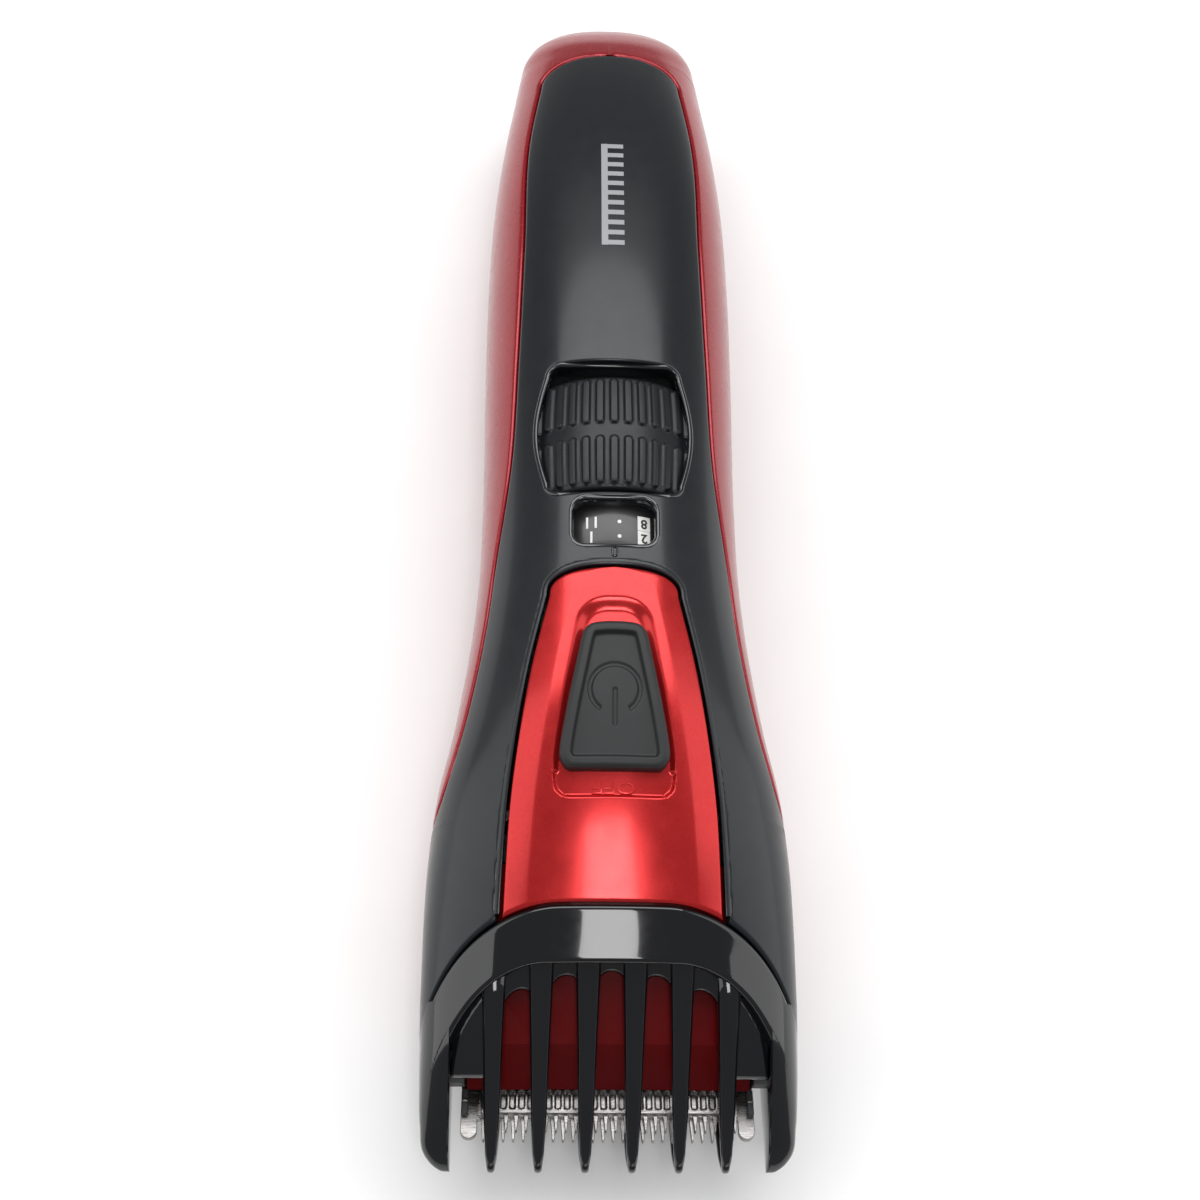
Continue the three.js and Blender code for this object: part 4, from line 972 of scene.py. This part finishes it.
def blade_band():
    """Oval recesses side by side across the top of the moving blade."""
    pitch = 1.22
    x = np.linspace(-BAND_HALF, BAND_HALF, 29 * 12 + 1)
    s = np.linspace(0, (BAND_REAR - BAND_FRONT) / math.cos(BLADE_TILT), 26)
    s, x = np.meshgrid(s, x, indexing="ij")
    across = np.abs((x / pitch) % 1 - 0.5) * pitch
    deep = np.hypot(across, np.clip(np.abs(s - 1.9) - 0.85, 0, None))
    height = 0.5 - 0.42 * ease((0.5 - deep) / 0.25)
    edge = np.minimum(np.minimum(s, s[-1, 0] - s), BAND_HALF - np.abs(x))
    height = height - round_over(edge, 0.2)
    along = s + (BAND_FRONT - FIXED_TIP) / math.cos(BLADE_TILT)
    top = FIXED_THICK + MOVING_THICK
    outer = on_blades(np.stack([x, along, top + height], -1).reshape(-1, 3))
    inner = on_blades(np.stack([x, along, np.full(x.shape, top - 0.3)], -1).reshape(-1, 3))
    return shell("blade_band", outer, inner, grid_faces(*x.shape), "cutter", STEEL, slot="blade_steel",
                 smooth=40)


def corner_block(side):
    """The dark end block beside the moving blade, with a bright pin across it."""
    x0, x1 = sorted((side * 18.75, side * 19.6))
    pieces = (("end_block", (3.2, 6.6), (1.0, 2.3), INNER), ("end_pin", (4.7, 5.1), (2.3, 2.6), STEEL))
    for name, along, up, mat in pieces:
        verts = np.array([(x, a, u) for x in (x0, x1) for a in along for u in up], float)
        faces = [(0, 1, 3, 2), (4, 6, 7, 5), (0, 4, 5, 1), (2, 3, 7, 6), (0, 2, 6, 4), (1, 5, 7, 3)]
        made = make(f"{name}_{'left' if side < 0 else 'right'}", on_blades(verts), faces, "body", mat,
                    smooth=30, slot="inner_grey")
        soften(made, 0.15, 3)


def blades():
    toothed_plate("fixed_blade", half=19.7, front=0.0, rear=18.6, root=2.9, low=0.0, high=FIXED_THICK,
                  tip_half=0.16, root_half=0.36, phase=0.0, corner=17.5, body="body",
                  replaces=("stationary_blade",))
    toothed_plate("moving_blade_plate", half=17.4, front=0.9 / math.cos(BLADE_TILT), rear=8.5, root=3.0,
                  low=FIXED_THICK + 0.02, high=FIXED_THICK + MOVING_THICK, tip_half=0.12, root_half=0.3,
                  phase=0.35, corner=0, body="cutter", replaces=("moving_blade",))
    blade_band()
    corner_block(-1)
    corner_block(1)


# ------------------------------------------------------------------ charge inlet
def butt_y(x, z):
    """Where the rounded butt's surface lies behind a point of its end face."""
    low, high = np.full(np.shape(x), 80.0), np.full(np.shape(x), BUTT)
    for _ in range(40):
        middle = (low + high) / 2
        half, top, bottom, mid, square = form(middle).T
        rise = np.where(z > mid, top - mid, mid - bottom)
        power = np.where(z > mid, POWER, square)
        out = (np.abs(x) / half) ** power + (np.abs(z - mid) / rise) ** power
        high, low = np.where(out > 1, middle, high), np.where(out > 1, low, middle)
    return (low + high) / 2


def charge_inlet():
    """A sunk socket with a black rim that follows the butt, its floor and its centre pin."""
    sides = 72
    angle = np.arange(sides) * (2 * math.pi / sides)

    def ring(radius, y=None, sink=0.0):
        x, z = radius * np.cos(angle), MID + radius * np.sin(angle)
        return np.column_stack([x, butt_y(x, z) - sink if y is None else np.full(sides, BUTT - y), z])

    def turned(name, rings, mat, slot, closed=False, **more):
        faces = grid_faces(len(rings), sides, wrap=True) + (close_ring(len(rings), sides) if closed else [])
        make(name, np.vstack(rings), faces, "body", mat, slot=slot, **more)

    lip = [ring(radius, sink=sink) for radius, sink in
           ((4.3, 0.5), (4.3, 0.02), (4.15, -0.08), (3.3, -0.08), (3.0, 0.1), (2.9, 0.5))]
    outside = ring(3.6, 9.6), np.column_stack([ring(3.6, 0)[:, 0], lip[0][:, 1] - 0.6, ring(3.6, 0)[:, 2]])
    turned("inlet_socket", [*lip, ring(2.9, 9.0), *outside], GLOSS, "soft_black", closed=True,
           replaces=("charge_inlet",), smooth=45)
    pin = ((0.0, 2.2), (0.35, 2.25), (0.6, 2.5), (0.65, 3), (0.65, 9.3), (0.0, 9.3))
    turned("inlet_pin", [ring(*place) for place in pin], BRASS, "brass")
    floor_plate = ((0.0, 8.9), (3.4, 8.9), (3.4, 9.5), (0.0, 9.5))
    turned("inlet_back", [ring(*place) for place in floor_plate], INNER, "soft_black")


charge_inlet()
zoom_wheel()
number_drum()
guide_comb()
blades()

# ------------------------------------------------------------------ looks of the pieces kept from the frame
KEPT = {
    # painted shade: the head cover takes the darkened copy of the red
    NOSE_SHADED_RED: ("head_cover",),
    STEEL: ("blade_base", "blade_spring_left", "blade_spring_right"),
    DARK_STEEL: ("blade_screw_left", "blade_screw_right", "case_screw_front_left", "case_screw_front_right",
                 "case_screw_rear_left", "case_screw_rear_right", "motor_can", "motor_shaft", "yoke_pin"),
    RESIN: ("drive_yoke", "eccentric_cam"),
    INNER: ("inner_frame", "motor_bracket", "motor_end_cap", "comb_carrier", "charge_inlet", "switch_body"),
    BRASS: ("cell_contact_rear", "cell_contact_left", "cell_contact_right"),
    BOARD: ("main_board", "charge_board"),
    CELL: ("cell_left", "cell_right"),
    LIGHT_GUIDE: ("charge_light",),
}
for look, names in KEPT.items():
    for node in names:
        obj = bpy.data.objects[node]
        obj.data.materials.clear()
        obj.data.materials.append(look)
        soften(obj, 0.12, 2, angle=35)


# ------------------------------------------------------------------ floor, lights and camera
floor_mesh = bpy.data.meshes.new("floor")
floor_mesh.from_pydata([(-4, -4, 0), (4, -4, 0), (4, 4, 0), (-4, 4, 0)], [], [(0, 1, 2, 3)])
floor = bpy.data.objects.new("floor", floor_mesh)
floor.location.z = -0.0002
bpy.context.scene.collection.objects.link(floor)
floor_mesh.materials.append(material("floor_paper", (0.93, 0.93, 0.93), 0.9, vary=0.01, bump=0.0))


def softbox(name, place, target, size, power):
    light = bpy.data.lights.new(name, "AREA")
    light.shape = "RECTANGLE"
    light.size, light.size_y = size
    light.energy = power
    obj = bpy.data.objects.new(name, light)
    obj.location = place
    bpy.context.scene.collection.objects.link(obj)
    obj.rotation_euler = (Vector(target) - obj.location).to_track_quat("-Z", "Y").to_euler()


softbox("overhead", (0.0, 0.45, 0.85), (0, 0.02, 0.02), (1.2, 0.5), 7.5)
softbox("left_side", (-0.75, 0.0, 0.4), (0, 0, 0.02), (0.5, 1.0), 2.6)
softbox("right_side", (0.8, 0.05, 0.4), (0, 0, 0.02), (0.5, 1.0), 2.4)
softbox("by_the_camera", (0.012, -0.17, 0.42), (0.0, -0.055, 0.03), (0.09, 0.16), 0.4)

world = bpy.data.worlds.new("studio")
bpy.context.scene.world = world
world.use_nodes = True
world.node_tree.nodes["Background"].inputs["Color"].default_value = (1, 1, 1, 1)
world.node_tree.nodes["Background"].inputs["Strength"].default_value = 0.28

lens = bpy.data.cameras.new("camera")
lens.sensor_width = 36.0
lens.lens = 49.1
camera = bpy.data.objects.new("camera", lens)
camera.location = (-0.01083, -0.11457, 0.24246)  # close above the head, looking towards the butt
camera.rotation_euler = (math.radians(24.18), math.radians(-2.45), 0)
bpy.context.scene.collection.objects.link(camera)
bpy.context.scene.camera = camera
bpy.context.scene.view_settings.view_transform = "Standard"
